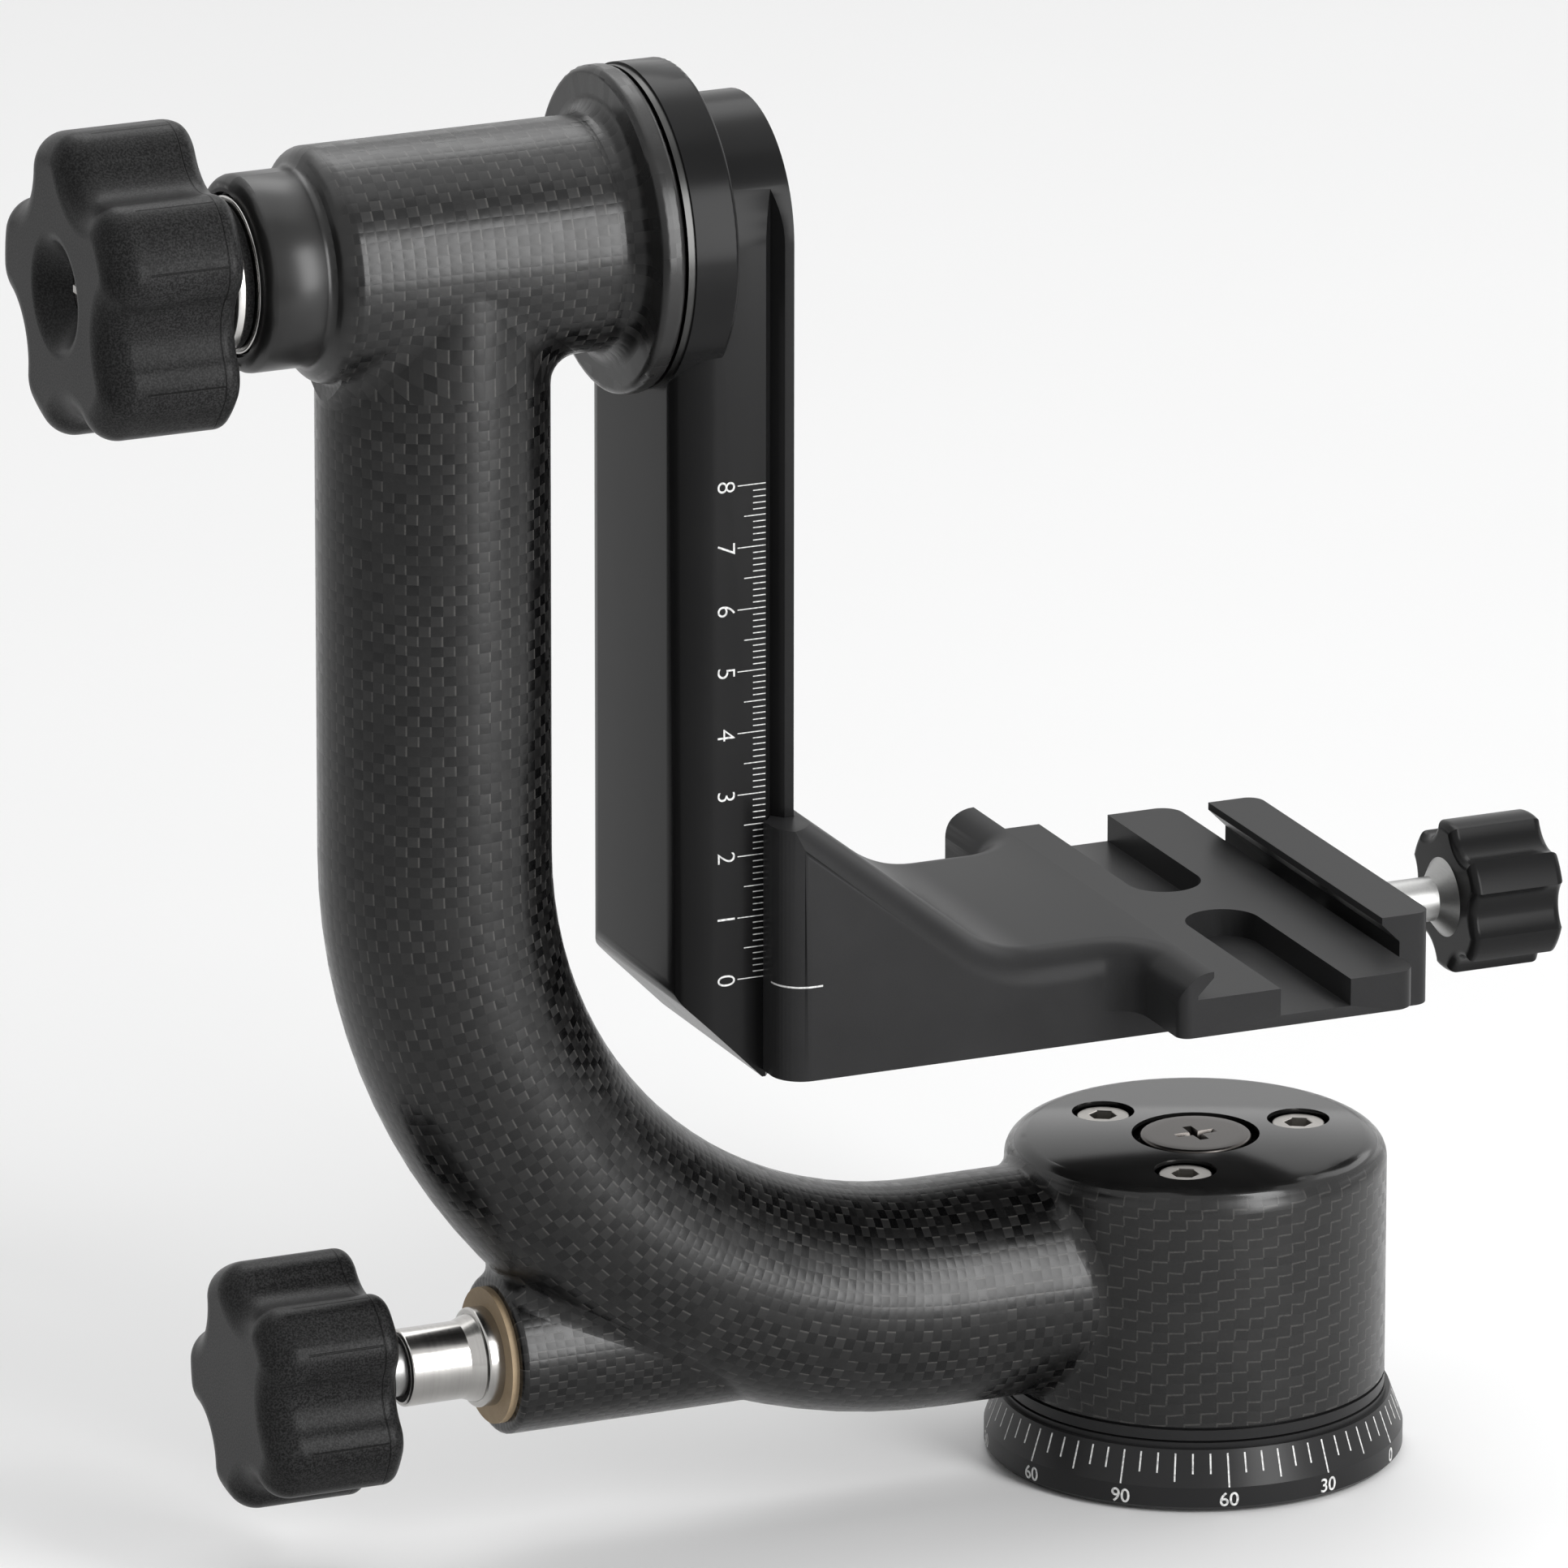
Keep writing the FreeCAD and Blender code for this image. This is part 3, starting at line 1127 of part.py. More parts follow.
# ---------------------------------------------------------------- cradle
def cradle():
    """Cradle: hooked wall on the rail, sloping gusset, and the platform with the clamp's fixed side."""
    piece = Piece("cradle")
    gusset_blank(piece)
    wings(piece)
    trim_wall(piece)
    clamp_seat(piece)
    rail_slot(piece)
    lock_pocket(piece)
    piece.prism("X", S.release_screw_tip - S.release_bore, S.seat_right,
                Circle(0, RELEASE_HEIGHT, S.release_screw_radius + S.fit_gap), cut=True)
    guides = [Circle(side * S.guide_pin_spread, RELEASE_HEIGHT, S.guide_pin_radius + S.fit_gap)
              for side in (-1, 1)]
    piece.prism("X", S.seat_right - S.guide_bore, S.seat_right, *guides, cut=True)


def gusset_blank(piece):
    """Platform and gusset, with the slope carried on past the hooks so that its rounding can run out."""
    foot = RAIL_FACE + S.slope_foot
    piece.prism("Y", -S.cradle_half_width, S.cradle_half_width, Polygon([
        (BLANK_LEFT, S.cradle_bottom), (S.seat_right, S.cradle_bottom), (S.seat_right, S.platform_top),
        (foot, S.platform_top, S.slope_round), (BLANK_LEFT, BLANK_TOP)]))


def wings(piece):
    """Widen the platform to both sides, and round its edge from the gusset's slope to the wing's end."""
    half, reach, left = S.cradle_half_width, S.wing_half_length, -S.wing_left
    piece.prism("Z", S.wing_bottom, S.platform_top, box(left, S.seat_right, -reach, reach))
    at_wing = (S.wing_bottom - NEAR, S.platform_top + NEAR)
    sides = (-1, 1)
    piece.rounded(S.wing_root_round, *[edges_within(x=near(left), y=near(side * half), z=at_wing)
                                       for side in sides])
    piece.rounded(S.wing_corner_round, *[edges_within(x=near(S.seat_right), y=near(side * reach), z=at_wing)
                                         for side in sides])
    piece.rounded(S.platform_round, *[edges_within(
        x=(BLANK_LEFT - NEAR, left), y=near(side * half), z=(S.platform_top - NEAR, BLANK_TOP + NEAR))
        for side in sides])
    for side in sides:
        round_left_corner(piece, left, side * reach, side, S.wing_tip_round, S.wing_bottom, S.platform_top)


def trim_wall(piece):
    """Cut the gusset's blank off at the wall's top and at the hooks, and round the hooks' corners."""
    half = S.cradle_half_width
    piece.prism("Y", -half, half, box(BLANK_LEFT, WALL_TOP_RIGHT, S.cradle_top, BLANK_TOP), cut=True)
    piece.prism("Y", -half, half, box(BLANK_LEFT, HOOK_END, S.cradle_bottom, S.cradle_top), cut=True)
    for side in (-1, 1):
        round_left_corner(piece, HOOK_END, side * half, side, S.cradle_round, S.cradle_bottom, S.cradle_top)


def round_left_corner(piece, x, y, side, radius, low, high):
    """Round an upright corner on the left by a cut, which holds where a rounding of the top runs out."""
    past_x, past_y = x - OVERCUT, y + side * OVERCUT
    back_x, back_y = x + radius + OVERCUT, y - side * (radius + OVERCUT)
    piece.prism("Z", low, high, Polygon([
        (past_x, past_y), (back_x, past_y), (back_x, y), (x, y, radius), (x, back_y), (past_x, back_y)]),
        cut=True)


def clamp_seat(piece):
    """Cut the plate's seat with its undercut lip, and the two channels across it."""
    lip, top = -S.lip_left, S.platform_top
    root = lip - S.dovetail_reach
    reach = S.wing_half_length
    piece.prism("Y", -reach, reach, Polygon([
        (lip, top), (lip, top - S.lip_height), (root, DOVETAIL_LOW), (root, SEAT_LEVEL),
        (S.seat_right, SEAT_LEVEL), (S.seat_right, top)]), cut=True)
    floor = top - S.seat_drop - S.channel_drop
    left, right = -S.channel_left, S.channel_right
    middle, radius = (left + right) / 2, (right - left) / 2
    for side in (-1, 1):
        near, far = side * (S.channel_web + radius), side * reach
        low, high = (far, near) if side < 0 else (near, far)
        piece.prism("Z", floor, SEAT_LEVEL, box(left, right, low, high), cut=True)
        piece.prism("Z", floor, SEAT_LEVEL, Circle(middle, near, radius), cut=True)


def rail_slot(piece):
    """Cut the slot for the rail: a fixed V tooth on the near side, open on the far side for the jaw."""
    clear = S.swing_half_width + S.slide_gap
    tooth = S.groove_half_width - S.slide_gap
    tip = clear - S.groove_depth + S.slide_gap
    piece.prism("Z", S.cradle_bottom, S.cradle_top, Polygon([
        (HOOK_END, -clear), (GROOVE_X - tooth, -clear), (GROOVE_X, -tip), (GROOVE_X + tooth, -clear),
        (CRADLE_WALL, -clear), (CRADLE_WALL, S.cradle_half_width), (HOOK_END, S.cradle_half_width)]),
        cut=True)


def lock_pocket(piece):
    """Cut the pocket for the cradle's moving jaw and the bore for its screw."""
    clear = S.swing_half_width + S.slide_gap
    low = S.cradle_bottom + S.lock_jaw_margin - S.face_gap
    high = S.cradle_top - S.lock_jaw_margin + S.face_gap
    piece.prism("Z", low, high, box(CRADLE_WALL, HOOK_END + S.lock_jaw_depth + S.face_gap,
                                    clear - S.face_gap, S.cradle_half_width), cut=True)
    piece.prism("Y", clear - S.lock_screw_reach - S.face_gap, clear,
                Circle(LOCK_X, S.lock_screw_height, S.lock_screw_radius + S.fit_gap), cut=True)


def cradle_jaw():
    """Moving jaw on the far side of the rail, with its V tooth."""
    jaw = Piece("cradle_jaw")
    clear = S.swing_half_width + S.slide_gap
    tooth = S.groove_half_width - S.slide_gap
    tip = clear - S.groove_depth + S.slide_gap
    low, high = S.cradle_bottom + S.lock_jaw_margin, S.cradle_top - S.lock_jaw_margin
    jaw.prism("Z", low, high, Polygon([
        (HOOK_END, clear), (GROOVE_X - tooth, clear), (GROOVE_X, tip), (GROOVE_X + tooth, clear),
        (HOOK_END + S.lock_jaw_depth, clear), (HOOK_END + S.lock_jaw_depth, S.cradle_half_width),
        (HOOK_END, S.cradle_half_width)]))
    jaw.rounded(S.cradle_round, edges_within(x=near(HOOK_END), y=near(S.cradle_half_width)))
    jaw.prism("Y", clear - OVERCUT, S.cradle_half_width,
              Circle(LOCK_X, S.lock_screw_height, S.lock_screw_radius + S.fit_gap), cut=True)


def cradle_lock():
    """Lock screw through the moving jaw and its fluted knob."""
    clear = S.swing_half_width + S.slide_gap
    at = (LOCK_X, 0, S.lock_screw_height)
    shoulder = S.cradle_half_width + S.face_gap
    knob_start = shoulder + S.lock_knob_stand
    knob_end = knob_start + S.lock_knob_length
    screw = Piece("cradle_lock_screw", at)
    screw.turned("Y", [
        (clear - S.lock_screw_reach, 0), (clear - S.lock_screw_reach, S.lock_screw_radius),
        (shoulder, S.lock_screw_radius), (shoulder, S.lock_shoulder_radius),
        (knob_start, S.lock_shoulder_radius), (knob_start, S.lock_screw_radius),
        (knob_end - S.lock_knob_stand, S.lock_screw_radius), (knob_end - S.lock_knob_stand, 0)])
    fluted("cradle_lock_knob", "Y", knob_start, knob_end, S.lock_knob_radius, S.lock_screw_radius,
           knob_end - S.lock_knob_stand, at)


def fluted(name, axis, start, end, radius, bore, bore_end, at):
    """Metal knob: a turned blank with concave flutes and a blind bore for its screw."""
    scale = radius / S.release_knob_radius
    knob = Piece(name, at)
    knob.prism(axis, start, end, Circle(0, 0, radius))
    flute = knob.prism(axis, start, end, Circle(S.flute_offset * scale, 0, S.flute_radius * scale), cut=True)
    knob.repeated([flute], axis, S.flute_count)
    knob.rounded(S.release_knob_round, flat_edges(axis, start), flat_edges(axis, end))
    knob.prism(axis, start, bore_end, Circle(0, 0, bore), cut=True)
    return knob


# ---------------------------------------------------------------- quick-release clamp
def release_jaw():
    """Moving jaw of the clamp: undercut lip towards the plate and a hole for the screw."""
    jaw = Piece("release_jaw")
    half = S.release_half_length
    undercut = S.platform_top - S.lip_height
    jaw.prism("Y", -half, half, Polygon([
        (JAW_LEFT, S.release_bottom), (JAW_RIGHT, S.release_bottom), (JAW_RIGHT, S.release_top),
        (S.release_lip, S.release_top), (S.release_lip, undercut), (JAW_LEFT, undercut - JAW_LEFT + S.release_lip)]))
    corners = [edges_within(x=near(JAW_RIGHT), y=near(side * half))
               for side in (-1, 1)]
    jaw.rounded(S.release_round, *corners)
    jaw.prism("X", JAW_LEFT, JAW_RIGHT,
              Circle(0, RELEASE_HEIGHT, S.release_screw_radius + S.fit_gap), cut=True)


def guide_pins():
    """Two pins fixed in the moving jaw, which slide in the platform."""
    pins = Piece("guide_pins", (0, 0, RELEASE_HEIGHT))
    pins.prism("X", JAW_LEFT - S.guide_pin_length, JAW_LEFT,
               *[Circle(side * S.guide_pin_spread, 0, S.guide_pin_radius) for side in (-1, 1)])


def release_screw():
    """Screw of the clamp, with the shoulder that pushes the jaw and the bright shaft up to the knob."""
    screw = Piece("release_screw", (0, 0, RELEASE_HEIGHT))
    shoulder = JAW_RIGHT + S.face_gap
    knob = S.release_knob_left
    end = knob + S.release_knob_length - S.lock_knob_stand
    screw.turned("X", [
        (S.release_screw_tip, 0), (S.release_screw_tip, S.release_screw_radius),
        (shoulder, S.release_screw_radius), (shoulder, S.release_shaft_radius),
        (knob - S.release_hub, S.release_shaft_radius), (knob, S.release_hub_radius),
        (knob, S.release_screw_radius), (end, S.release_screw_radius), (end, 0)])


def release_knob():
    """Fluted knob of the clamp."""
    end = S.release_knob_left + S.release_knob_length
    fluted("release_knob", "X", S.release_knob_left, end, S.release_knob_radius, S.release_screw_radius,
           end - S.lock_knob_stand, (0, 0, RELEASE_HEIGHT))


# ---------------------------------------------------------------- build, test and write
def check(document):
    """Stop if any object failed, a piece's shape is bad, or a cut took nothing away."""
    for item in document.Objects:
        if FAILED & set(item.State):
            raise RuntimeError(f"{item.Label}: {item.State}")
        if item.TypeId in ("PartDesign::Pocket", "PartDesign::Groove", "PartDesign::SubtractivePipe"):
            if item.Shape.Volume > item.BaseFeature.Shape.Volume - 0.01:
                raise RuntimeError(f"{item.Label} cuts nothing")
    for piece in Piece.made:
        shape = piece.body.Shape
        if shape.isNull() or not shape.isValid() or not shape.Solids:
            raise RuntimeError(f"{piece.name}: bad shape")


def main():
    """Build every piece, test them and write one STEP file each."""
    for build in (base_dial, thread_insert, base_screws, pan_spindle, spindle_cap_screw, pan_bearings,
                  arm_shell, pan_housing, drum_screws, drum_collar, brake_shoe, lock_rod, lock_sleeve,
                  lock_liner, rod_seal, tilt_knob, pan_knob, tilt_housing, tilt_bearing, tilt_shaft,
                  thrust_rings, swing_arm, shaft_screws, friction_ring, cradle, cradle_jaw, cradle_lock,
                  release_jaw, guide_pins, release_screw, release_knob):
        build()
    DOCUMENT.recompute()
    check(DOCUMENT)
    os.makedirs("parts", exist_ok=True)
    for piece in Piece.made:
        piece.body.Shape.exportStep(f"parts/{piece.name}.step")


main()
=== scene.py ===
"""Gimbal tripod head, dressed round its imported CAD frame.

The CAD nodes keep their shapes. Screws, thrust rings, scales and the index line are surfaces worked
out with numpy, and the machined blocks get their sharp edges broken. Each finish is a procedural
material on Object coordinates. Sizes are in millimetres inside the classes and become metres when a
mesh is made.
"""
from __future__ import annotations

import json
import logging
import math
from abc import ABC, abstractmethod
from collections.abc import Callable, Iterable, Iterator, Sequence
from contextlib import contextmanager
from dataclasses import dataclass, field
from enum import Enum, IntEnum
from functools import cached_property

import bmesh
import bpy
import numpy as np
from mathutils import Matrix, Vector

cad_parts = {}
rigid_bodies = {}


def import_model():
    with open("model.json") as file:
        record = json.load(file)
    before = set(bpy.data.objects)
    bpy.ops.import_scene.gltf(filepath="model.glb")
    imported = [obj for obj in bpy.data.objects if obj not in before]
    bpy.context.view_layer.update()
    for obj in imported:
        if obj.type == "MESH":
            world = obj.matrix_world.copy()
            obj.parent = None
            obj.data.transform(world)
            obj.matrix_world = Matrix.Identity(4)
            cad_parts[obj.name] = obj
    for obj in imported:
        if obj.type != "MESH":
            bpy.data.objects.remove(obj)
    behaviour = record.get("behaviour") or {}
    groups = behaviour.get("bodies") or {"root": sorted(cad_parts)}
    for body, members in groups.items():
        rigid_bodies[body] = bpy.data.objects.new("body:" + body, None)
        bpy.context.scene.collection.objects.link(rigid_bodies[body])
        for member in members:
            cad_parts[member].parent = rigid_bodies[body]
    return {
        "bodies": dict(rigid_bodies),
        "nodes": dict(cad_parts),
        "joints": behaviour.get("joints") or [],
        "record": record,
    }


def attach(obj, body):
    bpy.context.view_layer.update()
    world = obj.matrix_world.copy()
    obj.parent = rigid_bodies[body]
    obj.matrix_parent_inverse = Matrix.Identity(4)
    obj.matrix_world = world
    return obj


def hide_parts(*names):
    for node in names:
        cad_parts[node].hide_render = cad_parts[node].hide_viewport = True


LOG = logging.getLogger("gimbal_head")
MM = 0.001
TURN = 2 * math.pi
SHARP_ANGLE = math.radians(32)
FLAT_ANGLE = math.radians(0.2)
SAME_POINT = 1e-7
SEAM_POINT = 2e-6
WHITE = (1.0, 1.0, 1.0)
# Size of a noise whose blots are as wide as one unit of its vector
UNIT_NOISE = 1 / MM

# Places of the head's axes in the frame, in millimetres
TILT_HEIGHT = 212.5
LOW_HEIGHT = 31.6
TUBE_X = -130.5
BEND_RADIUS = 84.0
TUBE_RADIUS = 18.2
DRUM_RADIUS = 30.4
CROSS_RADIUS = 18.4
DRUM_TOP = 51.8


class Axis(IntEnum):
    """Axes of the frame, each the place of its number in a point."""

    X = 0
    Y = 1
    Z = 2


class Facing(Enum):
    """Directions in which a turned piece's own X axis can point."""

    RIGHT = (1.0, 0.0, 0.0)
    LEFT = (-1.0, 0.0, 0.0)
    UP = (0.0, 0.0, 1.0)
    DOWN = (0.0, 0.0, -1.0)


# ---------------------------------------------------------------- shader maths
def operation(name: str) -> Callable[..., Value]:
    """Method of Value that adds the Math node of an operation, with the value itself first."""
    def method(value: Value, *others: Value | float) -> Value:
        return value.shader.math(name, value, *others)
    return method


class Value:
    """One number on a surface: a socket whose operators add Math nodes."""

    def __init__(self, shader: Shader, socket: bpy.types.NodeSocket) -> None:
        """Wrap a socket of a shader's node tree."""
        self.shader = shader
        self.socket = socket

    __add__ = __radd__ = operation("ADD")
    __sub__ = operation("SUBTRACT")
    __mul__ = __rmul__ = operation("MULTIPLY")
    __truediv__ = operation("DIVIDE")
    __pow__ = operation("POWER")
    __abs__ = operation("ABSOLUTE")
    __gt__ = operation("GREATER_THAN")
    __lt__ = operation("LESS_THAN")
    floor = operation("FLOOR")
    fraction = operation("FRACT")
    root = operation("SQRT")
    larger = operation("MAXIMUM")
    smaller = operation("MINIMUM")

    def __rsub__(self, other: float) -> Value:
        """A number less this value."""
        return self.shader.math("SUBTRACT", other, self)

    def wrapped(self, length: float) -> Value:
        """Remainder of a division, from zero to the length."""
        return self.shader.math("WRAP", self, length, 0.0)


class Shader:
    """The node tree of a material or of the world, built by Python expressions."""

    def __init__(self, owner: bpy.types.Material | bpy.types.World) -> None:
        """Start with an empty tree.

        Args:
            owner: what the tree belongs to.
        """
        owner.use_nodes = True
        self.tree = owner.node_tree
        self.tree.nodes.clear()

    @cached_property
    def coordinates(self) -> bpy.types.NodeSocket:
        """Object coordinates in metres."""
        return self.node("ShaderNodeTexCoord").outputs["Object"]

    def node(self, kind: str, settings: dict[str, object] | None = None,
             inputs: dict[str | int, object] | None = None) -> bpy.types.Node:
        """Add one node.

        Args:
            kind: the node's type.
            settings: its properties, set first.
            inputs: values or links by socket name or index.

        Returns:
            The node.
        """
        node = self.tree.nodes.new(kind)
        for name, value in (settings or {}).items():
            setattr(node, name, value)
        for key, value in (inputs or {}).items():
            self.feed(node.inputs[key], value)
        return node

    def feed(self, socket: bpy.types.NodeSocket, value: object) -> None:
        """Link a Value or socket into a socket, or set a number or colour on it."""
        source = value.socket if isinstance(value, Value) else value
        if isinstance(source, bpy.types.NodeSocket):
            self.tree.links.new(source, socket)
        else:
            socket.default_value = (*source, 1.0) if socket.type == "RGBA" else source

    def math(self, name: str, *inputs: Value | float | bpy.types.NodeSocket) -> Value:
        """Math node of an operation on up to three inputs."""
        node = self.node("ShaderNodeMath", {"operation": name}, dict(enumerate(inputs)))
        return Value(self, node.outputs[0])

    def place(self, centre: Sequence[float] = (0, 0, 0)) -> tuple[Value, Value, Value]:
        """Object coordinates from a centre, in millimetres.

        Args:
            centre: a point in millimetres.

        Returns:
            The distances along X, Y and Z.
        """
        split = self.node("ShaderNodeSeparateXYZ", inputs={0: self.coordinates})
        return tuple(Value(self, socket) / MM - middle for socket, middle in zip(split.outputs, centre))

    def vector(self, x: Value | float, y: Value | float, z: Value | float) -> bpy.types.NodeSocket:
        """Three numbers as one vector."""
        return self.node("ShaderNodeCombineXYZ", inputs={0: x, 1: y, 2: z}).outputs[0]

    def angle(self, rise: Value, run: Value) -> Value:
        """Angle of a direction, in radians."""
        return self.math("ARCTAN2", rise, run)

    def length(self, first: Value, second: Value) -> Value:
        """Length of a plane vector."""
        return (first * first + second * second).root()

    def noise(self, size: float, detail: float = 2.0, where: bpy.types.NodeSocket | None = None) -> Value:
        """Noise from zero to one.

        Args:
            size: width of its blots in millimetres.
            detail: octaves.
            where: vector in metres, or the Object coordinates when left out.

        Returns:
            The noise.
        """
        node = self.node("ShaderNodeTexNoise", inputs={
            "Vector": where or self.coordinates, "Scale": 1 / (size * MM), "Detail": detail})
        return Value(self, node.outputs[0])

    def scatter(self, first: Value, second: Value) -> Value:
        """A random number from zero to one for each pair of whole numbers."""
        where = self.vector(first, second, 0.0)
        node = self.node("ShaderNodeTexWhiteNoise", {"noise_dimensions": "2D"}, {"Vector": where})
        return Value(self, node.outputs["Value"])

    def ramp(self, value: Value, low: float, high: float) -> Value:
        """Smooth step from zero at low to one at high."""
        node = self.node("ShaderNodeMapRange", {"interpolation_type": "SMOOTHSTEP"}, {
            "Value": value, "From Min": low, "From Max": high})
        return Value(self, node.outputs[0])

    def blend(self, factor: Value, first: Value | float, second: Value | float) -> Value:
        """First number where the factor is zero, second where it is one."""
        node = self.node("ShaderNodeMix", {"data_type": "FLOAT"}, {"Factor": factor, "A": first, "B": second})
        return Value(self, node.outputs[0])

    def colour(self, factor: Value, first: object, second: object) -> bpy.types.NodeSocket:
        """First colour where the factor is zero, second where it is one."""
        return self.node("ShaderNodeMix", {"data_type": "RGBA"}, {0: factor, 6: first, 7: second}).outputs[2]

    def bump(self, height: Value, depth: float, strength: float = 1.0) -> bpy.types.NodeSocket:
        """Normal of a relief, whose height of one stands for a depth in millimetres."""
        return self.node("ShaderNodeBump", inputs={
            "Strength": strength, "Distance": depth * MM, "Height": height}).outputs[0]


# ---------------------------------------------------------------- finishes
Colour = tuple[float, float, float]
Sockets = dict[str, object]


@dataclass(frozen=True)
class Finish(ABC):
    """What a surface is made of.

    Attributes:
        name: the material's name.
    """

    name: str

    @abstractmethod
    def sockets(self, s: Shader) -> Sockets:
        """Values or links of the Principled shader's sockets, worked out in a shader's tree."""

    def material(self) -> bpy.types.Material:
        """Build the finish.

        Returns:
            The material.
        """
        material = bpy.data.materials.new(self.name)
        s = Shader(material)
        principled = s.node("ShaderNodeBsdfPrincipled", inputs=self.sockets(s))
        s.node("ShaderNodeOutputMaterial", inputs={0: principled.outputs[0]})
        return material


@dataclass(frozen=True)
class CarbonWeave(Finish):
    """Carbon cloth under a satin clear coat: plain weave on the tubes, stepped twill on the drum.

    Attributes:
        tow_along: width of a tow along the tube, in millimetres.
        tow_round: width of a tow round the tube, in millimetres.
        drum_tow: height and width of a float on the drum, in millimetres.
        dark: colour of the darkest tows.
        light: colour of the lightest tows.
        edge: colour of a tow's end where it dips under the next, a painted highlight on the tubes and the
            light step lines on the drum.
        tube_mix: shares of chance, direction and fibre in a tow's shade on the tubes, and its start; the
            direction share is painted sheen that lightens the tows crossing one way.
        drum_mix: shares of chance and fibre in a tow's shade on the drum, and its start.
        crown: height of a tow's bulge, in millimetres.
        drum_crown: share of that bulge on the drum.
        grit: height of the coat's fine unevenness, in millimetres.
        dome: height of the relief on the drum's top, in millimetres.
        bulge: height of the relief round the neck, in millimetres.
        neck_middle: where along X the neck is thickest.
        neck_half: half the length of the neck's bulge.
        neck_end: where along X the cloth ends and the turned neck begins.
        flange_end: where along X the flange begins.
        flange_rim: radii at which its cloth ends and its turned rim begins.
        top_edge: how far below the drum's top its cloth ends and its polish begins.
        turned_height: neck and flange lie above this height.
        roughness: roughness of the coat on the cloth.
        neck_roughness: roughness of the turned neck.
        top_roughness: roughness of the drum's polished top.
        sheen: specular level of the coat.
    """

    name: str = "carbon_weave"
    tow_along: float = 1.62
    tow_round: float = 1.9
    drum_tow: tuple[float, float] = (1.7, 2.5)
    dark: Colour = (0.0015, 0.0015, 0.0016)
    light: Colour = (0.024, 0.0236, 0.0232)
    edge: Colour = (0.062, 0.060, 0.057)
    tube_mix: tuple[float, ...] = (0.40, 0.36, 0.30, -0.24)
    drum_mix: tuple[float, ...] = (0.14, 0.25, 0.16)
    crown: float = 0.018
    drum_crown: float = 0.15
    grit: float = 0.004
    dome: float = 5.5
    bulge: float = 1.1
    neck_middle: float = -158.0
    neck_half: float = 6.0
    neck_end: tuple[float, float] = (-149.0, -152.5)
    flange_end: float = -111.0
    flange_rim: tuple[float, float] = (19.6, 21.4)
    top_edge: tuple[float, float] = (1.6, 0.6)
    turned_height: float = 150.0
    roughness: float = 0.24
    neck_roughness: float = 0.30
    top_roughness: float = 0.17
    sheen: float = 0.36

    def sockets(self, s: Shader) -> Sockets:
        """Tows coloured by chance, direction and fibre, with painted highlights as light slivers where they
        end.

        The turned places are bare of cloth.
        """
        cell_u, cell_v, drum = self._cells(s)
        row, column = cell_u.floor(), cell_v.floor()
        in_u, in_v = cell_u.fraction(), cell_v.fraction()
        over = (row + column).wrapped(2.0) > 0.5
        chance, cloud, fibre = s.scatter(row, column), s.noise(9.0, 3.0), s.noise(0.5, 3.0)
        top, neck, flange = self._turned_places(s)
        bare = (1.0 - top) * (1.0 - neck) * (1.0 - flange)

        # Painted sheen: the direction share lightens the tows lying on top in one direction, standing in for
        # their stronger reflection.
        by_chance, direction_sheen, by_fibre, start = self.tube_mix
        tube_shade = chance * by_chance + over * direction_sheen + fibre * by_fibre + start
        by_chance, by_fibre, start = self.drum_mix
        drum_shade = chance * by_chance + fibre * by_fibre + start
        shade = s.blend(drum, tube_shade, drum_shade) * (cloud * 0.9 + 0.5)

        # Painted highlight: light slivers at the end of each tow on top on the tubes, where its crown would
        # catch the lamp; on the drum, light lines at the twill's steps.
        sliver_highlight = s.ramp(in_v, 0.80, 0.90) * s.ramp(in_v, 1.0, 0.96) * over * s.ramp(chance, 0.0, 0.8)
        step = (1.0 - over) * s.ramp(in_v, 0.14, 0.05).larger(s.ramp(in_u, 0.78, 0.90))
        edges = s.blend(drum, sliver_highlight * (fibre + 0.3), step * (fibre * 0.9 + 0.10)) * bare
        cloth = s.colour(edges, s.colour(shade, self.dark, self.light), self.edge)

        crown = s.blend(drum, self.crown, self.crown * self.drum_crown)
        tows = self._crown(in_u) * self._crown(in_v) * crown * bare
        relief = tows + s.noise(0.22, 3.0) * self.grit + self._forms(s, top, neck)
        rough = s.blend(neck, self.roughness + chance * 0.08 + over * 0.03, self.neck_roughness)
        return {"Base Color": s.colour(bare, s.colour(cloud, self.dark, self.light), cloth),
                "Roughness": s.blend(top, rough, self.top_roughness),
                "Normal": s.bump(relief, 1.0),
                "Specular IOR Level": self.sheen}

    @staticmethod
    def _crown(place: Value) -> Value:
        """Height across a tow: one less the square of the distance from its middle."""
        return 1.0 - (abs(place * 2.0 - 1.0) ** 2.0)

    def _turned_places(self, s: Shader) -> tuple[Value, Value, Value]:
        """One on the drum's polished top, the arm's turned neck and its flange in turn, else zero."""
        x, y, z = s.place()
        high = z > self.turned_height
        neck = s.ramp(x, *self.neck_end) * high
        flange = s.ramp(s.length(y, z - TILT_HEIGHT), *self.flange_rim) * (x > self.flange_end) * high
        edge = s.ramp(z, *(DRUM_TOP - depth for depth in self.top_edge))
        return edge * (z < DRUM_TOP + 1.0) * (x > -DRUM_RADIUS - 1.0), neck, flange

    def _forms(self, s: Shader, top: Value, neck: Value) -> Value:
        """Height in millimetres of the top's shallow dome and the neck's bulge.

        The dome falls with the square of the distance from the axis, and the bulge with the square
        of the distance from the neck's middle.
        """
        x, y, _ = s.place()
        dome = 1.0 - (x * x + y * y) / DRUM_RADIUS ** 2
        bulge = 1.0 - (abs((x - self.neck_middle) / self.neck_half) ** 2.0)
        return top * dome * self.dome + neck * bulge * self.bulge

